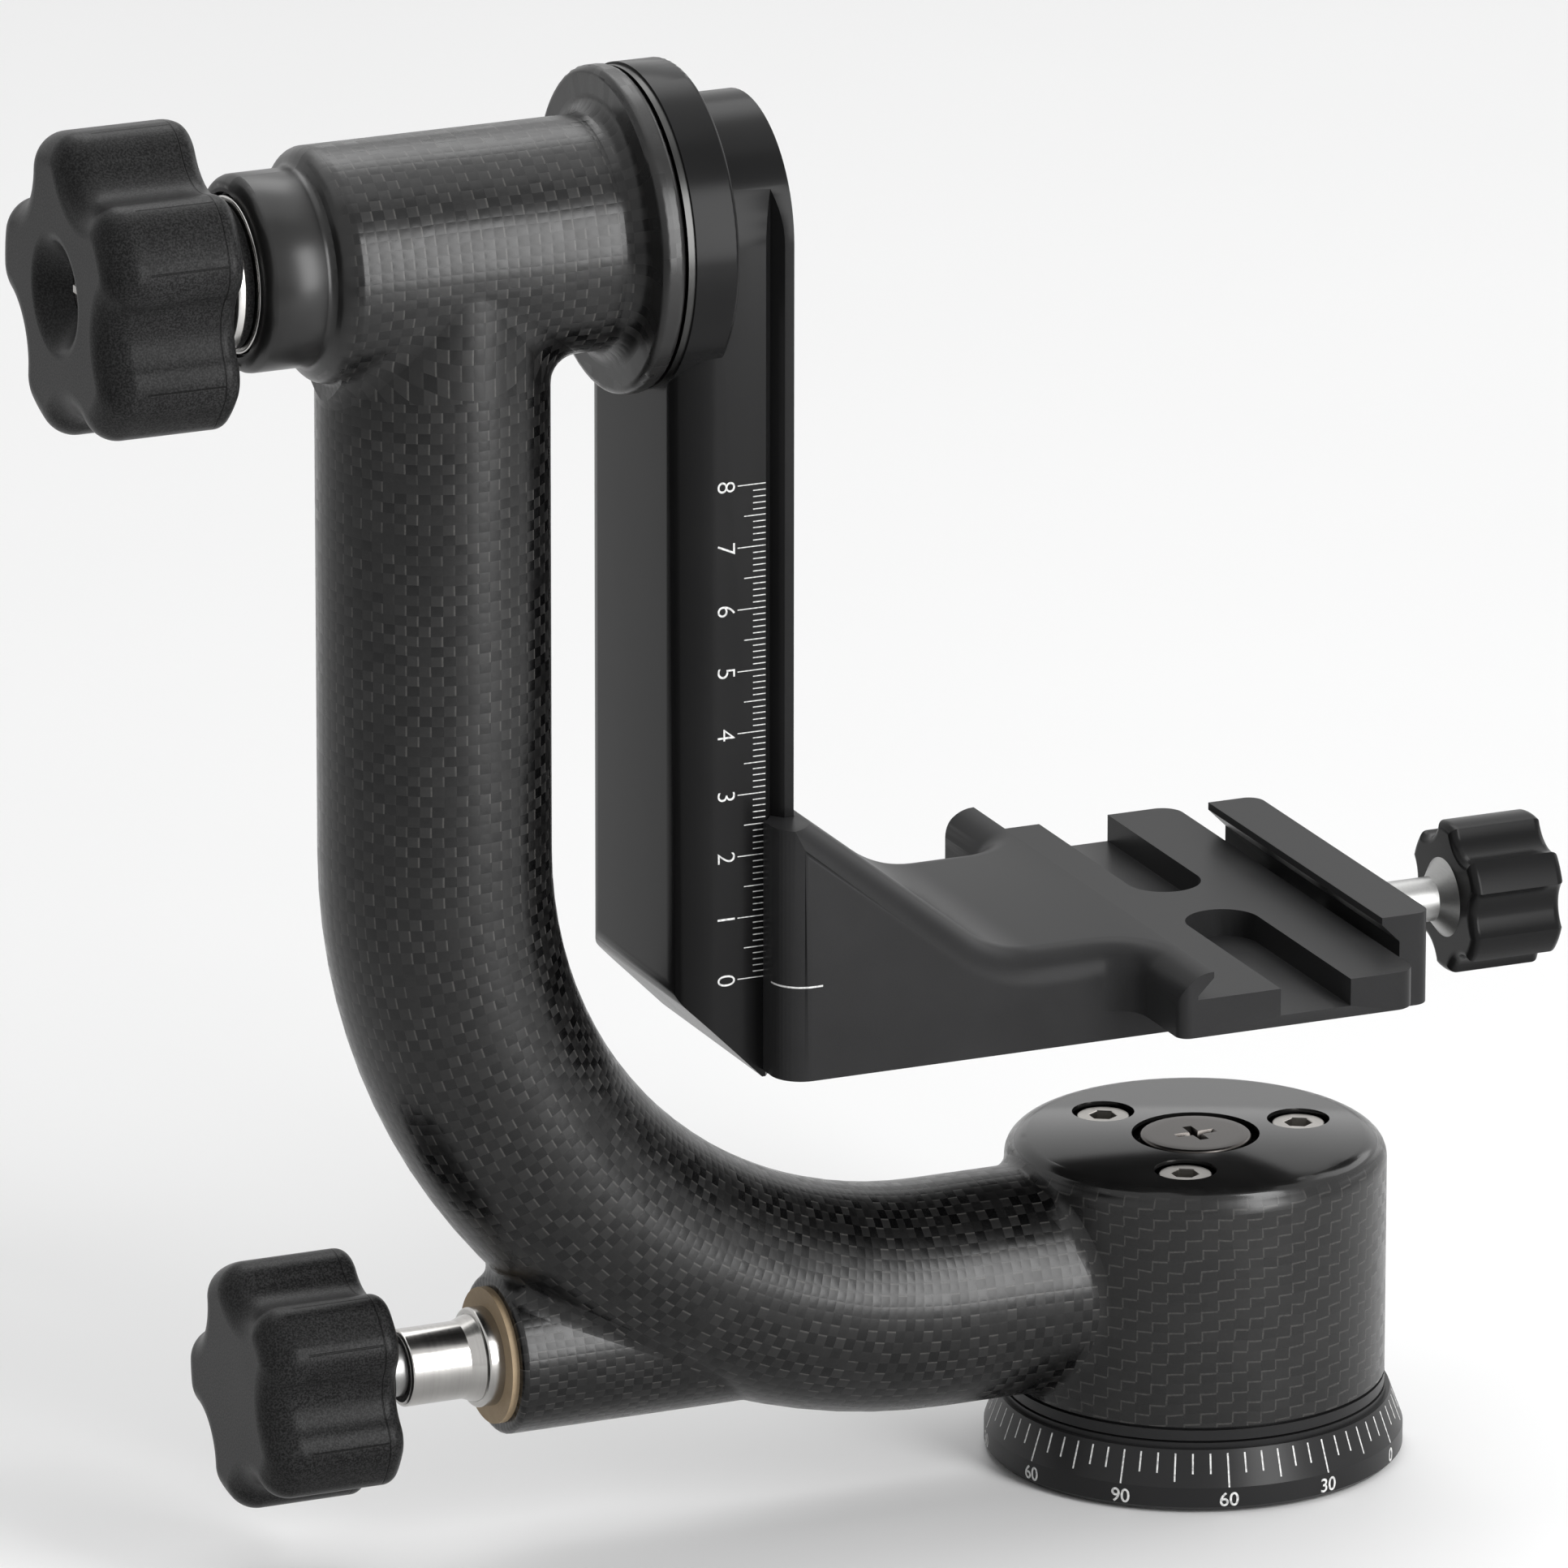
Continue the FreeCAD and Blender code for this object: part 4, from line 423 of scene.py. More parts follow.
    def _cells(self, s: Shader) -> tuple[Value, Value, Value]:
        """Tows counted along and round whichever tube a point belongs to.

        Upright and lower tube: height or X, and the angle round the axis times the radius. Bend:
        the angle round its centre times the bend's radius, and the angle round the centre line. The
        boss beside the bend counts as the lower tube. Cross tube: its cloth is laid square to
        theirs, so the two counts change places. Each radius gets a little more, for the fillets.

        Args:
            s: the shader that works them out.

        Returns:
            The count along, the count round, and one on the drum.
        """
        x, y, z = s.place()
        bend_x, bend_z = TUBE_X + BEND_RADIUS, LOW_HEIGHT + BEND_RADIUS
        from_x, from_z = x - bend_x, z - bend_z
        ring = s.length(from_x, from_z)
        turn = s.angle(-1.0 * from_z, -1.0 * from_x)
        upright = (z - bend_z, s.angle(y, x - TUBE_X) * TUBE_RADIUS)
        bend = (turn * -BEND_RADIUS, s.angle(y, BEND_RADIUS - ring) * TUBE_RADIUS)
        lower = (x * -1.0 + (bend_x - BEND_RADIUS * TURN / 4), s.angle(y, z - LOW_HEIGHT) * TUBE_RADIUS)
        cross_tube = (s.angle(y, z - TILT_HEIGHT) * CROSS_RADIUS, x)
        in_bend = z < bend_z
        in_boss = (s.length(BEND_RADIUS - ring, y) > TUBE_RADIUS + 0.5) * in_bend
        in_lower = (x > bend_x).larger(in_boss)
        in_cross = z > TILT_HEIGHT - CROSS_RADIUS - 1.0
        in_drum = s.length(x, y) < DRUM_RADIUS + 0.6
        tube = upright
        for inside, other in ((in_bend, bend), (in_lower, lower), (in_cross, cross_tube)):
            tube = tuple(s.blend(inside, a, b) for a, b in zip(tube, other))
        sway = s.noise(14.0) - 0.5
        along, around = tube
        tube = along / self.tow_along + sway * 0.5, around / self.tow_round + sway * 0.3
        high, wide = self.drum_tow
        drum = z / high + sway * 1.2, s.angle(y, x) * DRUM_RADIUS / wide + sway * 0.9
        cell_u, cell_v = (s.blend(in_drum, a, b) for a, b in zip(tube, drum))
        return cell_u, cell_v, in_drum


@dataclass(frozen=True)
class Anodised(Finish):
    """Black anodised aluminium: a dark oxide film over a fine polished or blasted grain.

    Attributes:
        base: the film's colour.
        rub: colour where handling has rubbed it.
        roughness: roughness of the film.
        sheen: specular level.
        grain: size of the grain in millimetres.
        depth: depth of the grain in millimetres.
    """

    base: Colour = (0.006, 0.006, 0.0062)
    rub: Colour = (0.012, 0.012, 0.0122)
    roughness: float = 0.27
    sheen: float = 0.10
    grain: float = 0.18
    depth: float = 0.012

    def sockets(self, s: Shader) -> Sockets:
        """Film lightened by rubbing, over the grain's relief."""
        grain = s.noise(self.grain, 3.0)
        cloud = s.noise(18.0, 3.0)
        return {"Base Color": s.colour(cloud * 0.6 + grain * 0.4, self.base, self.rub),
                "Roughness": self.roughness + cloud * 0.08 + grain * 0.06,
                "Normal": s.bump(grain, self.depth, 0.5),
                "Specular IOR Level": self.sheen}


@dataclass(frozen=True)
class MouldedPlastic(Finish):
    """Black moulded nylon or rubber with a fine eroded texture and slightly worn high spots.

    Attributes:
        base: colour of the hollows.
        worn: colour of the high spots.
        roughness: roughness of the skin.
        sheen: specular level.
        depth: depth of the relief in millimetres.
        erosion: share of that depth that the texture takes.
    """

    base: Colour = (0.006, 0.006, 0.0061)
    worn: Colour = (0.036, 0.036, 0.0363)
    roughness: float = 0.32
    sheen: float = 0.10
    depth: float = 0.18
    erosion: float = 0.12

    def sockets(self, s: Shader) -> Sockets:
        """Skin worn on its high spots, with the texture as relief."""
        grain = s.noise(0.30, 4.0)
        cloud = s.noise(11.0, 2.0)
        skin = s.colour(s.ramp(grain, 0.35, 0.7) * (cloud * 0.6 + 0.5), self.base, self.worn)
        skin, relief = self._lined(s, skin, grain * self.erosion)
        return {"Base Color": skin,
                "Roughness": self.roughness + cloud * 0.10 - grain * 0.05,
                "Normal": s.bump(relief, self.depth, 0.6),
                "Specular IOR Level": self.sheen}

    def _lined(self, s: Shader, skin: bpy.types.NodeSocket,
               relief: Value) -> tuple[bpy.types.NodeSocket, Value]:
        """Colour and relief with the mould's lines drawn in. Plain skin has none."""
        return skin, relief


@dataclass(frozen=True)
class KnobNylon(MouldedPlastic):
    """Nylon of a five-lobed knob about an axis along X, with the lines that its mould left.

    Attributes:
        height: height of the axis.
        radius: radius at the lobes.
        first_lobe: direction of a lobe in degrees.
        front: where the lines on the sides begin.
        seam: where the rear cap meets the grip.
        lines: direction of each side line from its lobe, in degrees.
        lobe_turn: degrees from lobe to lobe.
        dirt: darker colour drawn in the lines.
        groove: share of the relief's depth, and of the darker line colour, that a line takes.
    """

    height: float = TILT_HEIGHT
    radius: float = 24.8
    first_lobe: float = 77.6
    front: float = -186.0
    seam: float = -173.2
    lines: tuple[float, float] = (10.5, -14.5)
    lobe_turn: float = 72.0
    dirt: Colour = (0.001, 0.001, 0.001)
    groove: float = 0.8

    def _lined(self, s: Shader, skin: bpy.types.NodeSocket,
               relief: Value) -> tuple[bpy.types.NodeSocket, Value]:
        """Colour and relief with the seam behind the grip and a pair of lines beside each lobe."""
        x, y, z = s.place((0.0, 0.0, self.height))
        turn = s.angle(z, y) * (360 / TURN) + (self.lobe_turn / 2 - self.first_lobe + 720.0)
        from_lobe = turn.wrapped(self.lobe_turn) - self.lobe_turn / 2
        offs = [abs(from_lobe - line) * (self.radius / 360 * TURN) for line in self.lines]
        side = s.ramp(offs[0].smaller(offs[1]), 0.20, 0.08) * (x > self.front) * (x < self.seam)
        line = side.larger(s.ramp(abs(x - self.seam), 0.16, 0.05)) * self.groove
        return s.colour(line, skin, self.dirt), relief - line + self.groove


@dataclass(frozen=True)
class TurnedMetal(Finish):
    """Bare metal with fine turning rings round an axis.

    Attributes:
        base: colour of the metal.
        low: colour in the troughs and stains.
        roughness: mean roughness.
        pitch: distance between turning rings in millimetres.
        axis: the axis that the metal was turned about.
        centre: a point on the axis, in millimetres.
    """

    base: Colour
    low: Colour
    roughness: float
    pitch: float = 0.35
    axis: Axis = Axis.X
    centre: tuple[float, float, float] = (0.0, 0.0, 0.0)

    def sockets(self, s: Shader) -> Sockets:
        """Metal streaked by its turning rings and clouded by stains."""
        place = s.place(self.centre)
        first, second = (place[i] for i in Axis if i != self.axis)
        rings = s.vector(place[self.axis] / self.pitch, s.length(first, second) / self.pitch, 0.0)
        streak = s.noise(UNIT_NOISE, 2.0, rings)
        stain = s.noise(3.5, 3.0)
        return {"Base Color": s.colour(streak * 0.5 + stain * 0.5, self.low, self.base),
                "Metallic": 1.0,
                "Roughness": self.roughness + streak * 0.10 + stain * 0.06,
                "Normal": s.bump(streak, 0.01, 0.35)}


@dataclass(frozen=True)
class PressedFibre(Finish):
    """Tan pressed fibre or bronze liner, mottled.

    Attributes:
        base: the lighter colour.
        low: the darker colour.
        roughness: roughness of its face.
        metallic: one for metal.
    """

    base: Colour
    low: Colour
    roughness: float = 0.6
    metallic: float = 0.0

    def sockets(self, s: Shader) -> Sockets:
        """Flecks and clouds of two colours."""
        fleck, cloud = s.noise(0.35, 3.0), s.noise(2.6, 3.0)
        return {"Base Color": s.colour(fleck * 0.5 + cloud * 0.5, self.low, self.base),
                "Metallic": self.metallic,
                "Roughness": self.roughness + fleck * 0.15,
                "Normal": s.bump(fleck, 0.03, 0.4)}


@dataclass(frozen=True)
class EngravedInk(Finish):
    """White ink filled into engraved marks, slightly uneven.

    Attributes:
        base: colour of thick ink.
        thin: colour where it has worn thin.
    """

    name: str = "white_ink"
    base: Colour = (0.74, 0.74, 0.73)
    thin: Colour = (0.42, 0.42, 0.42)

    def sockets(self, s: Shader) -> Sockets:
        """Ink thinned by wear."""
        wear = s.noise(0.5, 3.0)
        return {"Base Color": s.colour(s.ramp(wear, 0.3, 0.6), self.thin, self.base),
                "Roughness": 0.5 + wear * 0.1}


@dataclass(frozen=True)
class PaleFloor(Finish):
    """Matt pale floor with a faint cloud.

    Attributes:
        base: the lighter colour.
        low: the darker colour.
    """

    name: str = "pale_floor"
    base: Colour = (0.92, 0.92, 0.92)
    low: Colour = (0.90, 0.90, 0.90)

    def sockets(self, s: Shader) -> Sockets:
        """Two pale colours in wide clouds."""
        return {"Base Color": s.colour(s.noise(120.0), self.low, self.base), "Roughness": 0.8}


# ---------------------------------------------------------------- meshes
Array = np.ndarray
Outline = Callable[[Array], Array]
Place = tuple[float, float, float]


def grid_faces(rows: int, columns: int) -> Array:
    """Quads of a grid of points kept row by row, as index rows of four.

    Args:
        rows: points in the first direction.
        columns: points in the second direction.

    Returns:
        The quads.
    """
    first = (np.arange(rows - 1)[:, None] * columns + np.arange(columns - 1)[None, :]).ravel()
    return np.stack([first, first + 1, first + columns + 1, first + columns], axis=1)


def lathe(along: Array, radius: Array) -> Array:
    """Points of rings about the X axis.

    The point of ring k at angle t is (along k, radius k cos t, radius k sin t), where the radius may
    differ from angle to angle.

    Args:
        along: distance of each ring along the axis.
        radius: for each ring its radius at each step of the angle, the last step on the first.

    Returns:
        Points, ring by ring.
    """
    angle = np.linspace(0.0, TURN, radius.shape[1])[None, :]
    along = np.broadcast_to(along[:, None], radius.shape)
    return np.stack([along, radius * np.cos(angle), radius * np.sin(angle)], axis=2)


def hexagon(radius: float) -> Outline:
    """Outline of a hexagon: the half width over the cosine of the turn from a flat's middle."""
    return lambda turn: radius * math.cos(math.pi / 6) / np.cos(turn % (math.pi / 3) - math.pi / 6)


def cross(reach: float, half: float) -> Outline:
    """Outline of a cross: the half width over the sine of the turn from a slot, up to its end."""
    def radius(turn: Array) -> Array:
        off = np.abs((turn + math.pi / 4) % (math.pi / 2) - math.pi / 4)
        return np.minimum(reach / np.cos(off), half / np.maximum(np.sin(off), 1e-6))
    return radius


@dataclass(frozen=True)
class ScrewForm:
    """Screw with a driving socket, about the X axis, with its head's face at zero.

    Attributes:
        head: radius of the head.
        head_height: height of the head.
        shank: radius of the shank.
        length: the face to the tip.
        socket: outline of the socket.
        depth: depth of the socket.
        lip: width and depth of the chamfer round the socket.
        floor: share that the socket's outline has shrunk to at its floor.
        edge: rounding of the head's edge.
        dome: rise of the face's middle over its edge.
        seat: radius under the head, which is less than the head's on a countersunk screw.
    """

    head: float
    head_height: float
    shank: float
    length: float
    socket: Outline
    depth: float
    lip: float = 0.12
    floor: float = 0.8
    edge: float = 0.4
    dome: float = 0.0
    seat: float | None = None

    def points(self, sides: int = 144) -> Array:
        """Rings from the socket's floor over the face and the edge to the tip."""
        around = np.linspace(0.0, TURN, sides + 1)
        outline, whole = self.socket(around), np.ones(sides + 1)
        flat = self.head - self.edge
        shares = np.linspace(0.0, 1.0, 5)[:, None]
        face = (outline + self.lip) * (1 - shares) + flat * whole * shares
        bend = np.linspace(0.0, math.pi / 2, 6)[1:]
        seat = self.head if self.seat is None else self.seat
        body = np.array([*(flat + self.edge * np.sin(bend)), seat, self.shank, self.shank, 0.0])
        rings = np.concatenate([[0 * whole, outline * self.floor, outline], face, body[:, None] * whole])
        rise = -self.dome * (face.mean(axis=1) / self.head) ** 2
        along = np.concatenate([
            [-self.depth, -self.depth, rise[0] - self.lip], rise, rise[-1] - self.edge * (1 - np.cos(bend)),
            [-self.head_height, -self.head_height, -self.length, -self.length]])
        return lathe(along, rings)


@dataclass(frozen=True)
class RingForm:
    """Flat ring about the X axis whose four edges are rounded alike, with its right face at zero.

    Attributes:
        width: its length along the axis.
        inner: radius of its hole.
        outer: its own radius.
        bend: rounding of its edges.
    """

    width: float
    inner: float
    outer: float
    bend: float

    def points(self, sides: int = 144) -> Array:
        """Rings from the hole's middle round the section and back, with a quarter circle at each edge."""
        left, right = self.bend - self.width, -self.bend
        low, high = self.inner + self.bend, self.outer - self.bend
        turns = (np.arange(3, -1, -1)[:, None] - np.linspace(0.0, 1.0, 7)) * (TURN / 4)
        along = np.array([[left], [left], [right], [right]]) + self.bend * np.cos(turns)
        radius = np.array([[low], [high], [high], [low]]) + self.bend * np.sin(turns)
        along = np.array([-self.width / 2, *along.ravel(), -self.width / 2])
        radius = np.array([self.inner, *radius.ravel(), self.inner])
        return lathe(along, radius[:, None] * np.ones(sides + 1))


def placed(points: Array, origin: Place, facing: Facing) -> Array:
    """Points drawn about the X axis, carried to an axis in the frame.

    Args:
        points: array whose last direction holds X, Y and Z.
        origin: where zero goes.
        facing: where the drawing's X axis points.

    Returns:
        The carried points.
    """
    turn = np.array(Vector(facing.value).to_track_quat("X", "Z").to_matrix())
    return points @ turn.T + np.array(origin)


def circle_places(count: int, radius: float, centre: Place, axis: Axis) -> list[Place]:
    """Evenly spaced places on a circle round an axis, the first on the next axis of the frame.

    Args:
        count: how many.
        radius: the circle's radius.
        centre: its middle.
        axis: the axis.

    Returns:
        The places.
    """
    turns = np.arange(count) * TURN / count
    places = np.tile(np.array(centre), (count, 1))
    places[:, (axis + 1) % 3] += radius * np.cos(turns)
    places[:, (axis + 2) % 3] += radius * np.sin(turns)
    return [tuple(place) for place in places]


def new_object(name: str, data: bpy.types.ID) -> bpy.types.Object:
    """Object of a mesh, a lamp, a camera or a text, put into the scene."""
    made = bpy.data.objects.new(name, data)
    bpy.context.scene.collection.objects.link(made)
    return made


@contextmanager
def edited(mesh: bpy.types.Mesh, merge: float) -> Iterator[bmesh.types.BMesh]:
    """Lend out a mesh for a change, then shade it smooth up to the sharp edges.

    Args:
        mesh: the mesh.
        merge: points closer than this, in metres, become one first.

    Yields:
        The mesh in its form for changes.
    """
    form = bmesh.new()
    form.from_mesh(mesh)
    bmesh.ops.remove_doubles(form, verts=form.verts, dist=merge)
    yield form
    form.to_mesh(mesh)
    form.free()
    mesh.shade_smooth()
    mesh.set_sharp_from_angle(angle=SHARP_ANGLE)


@dataclass
class Workshop:
    """Makes pieces in the frame and dresses the CAD nodes.

    Attributes:
        frame: the loaded frame.
        materials: finishes already made, by name.
    """

    frame: dict
    materials: dict[str, bpy.types.Material] = field(default_factory=dict)

    def material(self, finish: Finish) -> bpy.types.Material:
        """The material of a finish, made once."""
        if finish.name not in self.materials:
            self.materials[finish.name] = finish.material()
        return self.materials[finish.name]

    def dress(self, finish: Finish, *nodes: str) -> None:
        """Put a finish in every slot of CAD nodes.

        Args:
            finish: the finish.
            nodes: names of CAD nodes.
        """
        for node in nodes:
            for slot in self.frame["nodes"][node].material_slots:
                slot.material = self.material(finish)
            LOG.info("dressed %s in %s", node, finish.name)

    def piece(self, name: str, mesh: bpy.types.Mesh, finish: Finish, body: str, slot: str,
              replaces: Iterable[str] = ()) -> bpy.types.Object:
        """Make a finished object of a mesh and hang it on a body.

        Args:
            name: the piece's name.
            mesh: its mesh, in metres and in place.
            finish: its finish.
            body: the CAD body that it rides on.
            slot: the record's material slot; not used.
            replaces: CAD nodes that it stands for.

        Returns:
            The object.
        """
        mesh.materials.clear()
        mesh.materials.append(self.material(finish))
        made = new_object(name, mesh)
        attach(made, body)
        if replaces:
            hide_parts(*replaces)
        LOG.info("%s: %d faces on %s", name, len(mesh.polygons), body)
        return made

    @staticmethod
    def mesh(name: str, points: Array, faces: Array) -> bpy.types.Mesh:
        """Mesh of points in millimetres, with doubles merged and faces turned outwards.

        Args:
            name: the mesh's name.
            points: rows of X, Y and Z.
            faces: index rows.

        Returns:
            The mesh, in metres.
        """
        mesh = bpy.data.meshes.new(name)
        mesh.from_pydata(points.reshape(-1, 3) * MM, [], faces.tolist())
        with edited(mesh, SAME_POINT) as form:
            bmesh.ops.dissolve_degenerate(form, edges=form.edges, dist=SAME_POINT)
            bmesh.ops.recalc_face_normals(form, faces=form.faces)
        return mesh

    def turned(self, node: str, points: Array, finish: Finish, body: str, slot: str,
               places: Sequence[Place], facing: Facing = Facing.RIGHT) -> bpy.types.Object:
        """Turned pieces that stand for a CAD node, one at each place.

        Args:
            node: the CAD node.
            points: rings about the X axis.
            finish: their finish.
            body: the body that they ride on.
            slot: the record's material slot.
            places: where the drawing's zero goes.
            facing: where its X axis points.

        Returns:
            The object that stands for the node.
        """
        faces = grid_faces(*points.shape[:2])
        count = points.shape[0] * points.shape[1]
        copies = np.concatenate([placed(points, place, facing).reshape(-1, 3) for place in places])
        faces = np.concatenate([faces + count * copy for copy in range(len(places))])
        return self.piece(f"{node}_turned", self.mesh(node, copies, faces), finish, body, slot, (node,))

    def softened(self, node: str, finish: Finish, body: str, slot: str, width: float,
                 segments: int = 3) -> bpy.types.Object:
        """Copy of a CAD node with its sharp edges broken by a fine rounding.

        Args:
            node: the CAD node.
            finish: its finish.
            body: the body that it rides on.
            slot: the record's material slot.
            width: width of the rounding in millimetres.
            segments: runs across the rounding.

        Returns:
            The object that stands for the node.
        """
        mesh = self.frame["nodes"][node].data.copy()
        with edited(mesh, SEAM_POINT) as form:
            bmesh.ops.dissolve_limit(form, angle_limit=FLAT_ANGLE, verts=form.verts, edges=form.edges)
        made = self.piece(f"{node}_soft", mesh, finish, body, slot, (node,))
        bevel = made.modifiers.new("broken_edges", "BEVEL")
        bevel.width = width * MM
        bevel.segments = segments
        bevel.limit_method = "ANGLE"
        bevel.angle_limit = SHARP_ANGLE
        bevel.harden_normals = True
        bevel.miter_outer = "MITER_ARC"
        return made


# ---------------------------------------------------------------- marks
def bars(starts: Array, ends: Array, sides: Array, width: float, rise: float) -> tuple[Array, Array]:
    """Thin boxes: each corner is the middle plus or minus a half size along each of three directions.

    Args:
        starts: rows of X, Y and Z where each box begins.
        ends: rows where it ends.
        sides: unit rows of the direction of its width.
        width: its width.
        rise: how far it stands up, and reaches down.

    Returns:
        Points and quads.
    """
    runs = ends - starts
    lengths = np.linalg.norm(runs, axis=1)[:, None]
    along = runs / lengths
    directions = np.stack([along, sides, np.cross(along, sides)], axis=1)
    halves = np.concatenate([lengths / 2, np.tile((width / 2, rise), (len(runs), 1))], axis=1)
    signs = np.array([(x, y, z) for x in (-1, 1) for y in (-1, 1) for z in (-1, 1)], float)
    steps = signs[None, :, :] * halves[:, None, :]
    points = (starts + ends)[:, None, :] / 2 + np.einsum("nck,nkd->ncd", steps, directions)
    quads = np.array([(0, 1, 3, 2), (4, 6, 7, 5), (0, 4, 5, 1), (2, 3, 7, 6), (0, 2, 6, 4), (1, 5, 7, 3)])
    faces = quads[None, :, :] + len(signs) * np.arange(len(runs))[:, None, None]
    return points.reshape(-1, 3), faces.reshape(-1, 4)


def figures(text: str, height: float, thickness: float, weight: float) -> tuple[Array, Array]:
    """Plain figures as a thin raised mesh in the XY plane, centred on the origin.

    Args:
        text: what to write.
        height: height of a capital in millimetres.
        thickness: how far the figures stand up.
        weight: how much the strokes grow or, below zero, shrink.

    Returns:
        Points in millimetres and triangles.
    """
    curve = bpy.data.curves.new("figures", "FONT")
    curve.body = text
    curve.size = 1.0
    curve.align_x = "CENTER"
    curve.offset = weight
    curve.extrude = 0.5
    holder = new_object("figures", curve)
    mesh = bpy.data.meshes.new_from_object(holder.evaluated_get(bpy.context.evaluated_depsgraph_get()))
    mesh.calc_loop_triangles()
    points = np.zeros(len(mesh.vertices) * 3)
    mesh.vertices.foreach_get("co", points)
    faces = np.zeros(len(mesh.loop_triangles) * 3, np.int32)
    mesh.loop_triangles.foreach_get("vertices", faces)
    bpy.data.objects.remove(holder)
    points = points.reshape(-1, 3)
    low, high = points.min(0), points.max(0)
    scale = height / (high[1] - low[1])
    return (points - (low + high) / 2) * (scale, scale, thickness), faces.reshape(-1, 3)


@dataclass
class Marks:
    """Collects bars and figures, and makes one mesh of them.

    Attributes:
        points: the points of each group so far, in millimetres.
        faces: the faces of each group, as index rows into all points.
        count: how many points there are.
    """

    points: list[Array] = field(default_factory=list)
    faces: list[list[list[int]]] = field(default_factory=list)
    count: int = 0

    def add(self, points: Array, faces: Array) -> None:
        """Take in one group of points and faces."""
        self.points.append(points)
        self.faces.append((faces + self.count).tolist())
        self.count += len(points)

    def mesh(self, name: str) -> bpy.types.Mesh:
        """Mesh of all marks so far, in metres."""
        mesh = bpy.data.meshes.new(name)
        faces = [face for group in self.faces for face in group]
        mesh.from_pydata(np.concatenate(self.points) * MM, [], faces)
        mesh.update()
        return mesh


# ---------------------------------------------------------------- finishes of this head
CARBON = CarbonWeave()
SATIN_BLACK = Anodised("satin_black_oxide", base=(0.009, 0.009, 0.0093), rub=(0.022, 0.022, 0.0226),
                       sheen=0.20)
GLOSS_BLACK = Anodised("polished_black_oxide", roughness=0.17, depth=0.003)
BLASTED_BLACK = Anodised("blasted_black_oxide", base=(0.014, 0.014, 0.0143), rub=(0.034, 0.034, 0.0348),
                         sheen=0.07, depth=0.02)
TILT_NYLON = KnobNylon("tilt_knob_nylon")
PAN_NYLON = KnobNylon("pan_knob_nylon", height=LOW_HEIGHT, radius=20.0, first_lobe=65.6, front=-159.0,
                      seam=-146.2)
RUBBER = MouldedPlastic("black_rubber", roughness=0.6)
CHROME = TurnedMetal("chrome_sleeve", (0.52, 0.51, 0.49), (0.34, 0.33, 0.32), 0.13,
                     centre=(0.0, 0.0, LOW_HEIGHT))
THRUST_STEEL = TurnedMetal("thrust_ring_steel", (0.70, 0.69, 0.67), (0.40, 0.39, 0.38), 0.14,
                           centre=(0.0, 0.0, TILT_HEIGHT))
RING_STEEL = TurnedMetal("friction_ring_steel", (0.075, 0.075, 0.073), (0.03, 0.03, 0.03), 0.22,
                         centre=(0.0, 0.0, TILT_HEIGHT))
CAP_STEEL = TurnedMetal("cap_screw_steel", (0.115, 0.105, 0.098), (0.065, 0.06, 0.056), 0.26, axis=Axis.Z)
SCREW_STEEL = TurnedMetal("screw_steel", (0.52, 0.50, 0.47), (0.26, 0.25, 0.235), 0.24, axis=Axis.Z)
GREY_STEEL = TurnedMetal("grey_steel", (0.42, 0.42, 0.41), (0.26, 0.26, 0.26), 0.30)
BARE_ALUMINIUM = TurnedMetal("bare_aluminium", (0.62, 0.62, 0.63), (0.45, 0.45, 0.46), 0.32, axis=Axis.Z)
BRONZE = PressedFibre("bearing_bronze", (0.52, 0.33, 0.14), (0.32, 0.19, 0.08), roughness=0.3, metallic=1.0)
TAN_FIBRE = PressedFibre("tan_fibre", (0.46, 0.35, 0.22), (0.28, 0.20, 0.12))
INK = EngravedInk()


# ---------------------------------------------------------------- sub-assemblies
THRUST_RING = RingForm(width=1.7, inner=6.2, outer=12.3, bend=0.45)


@dataclass
class Assembly(ABC):
    """Sub-assembly of the head, whose fields are its sizes in millimetres and turns in degrees.

    Attributes:
        shop: the workshop that makes its pieces.
    """

    shop: Workshop

    @abstractmethod
    def build(self) -> None:
        """Dress the nodes and make the pieces that stand for some of them."""


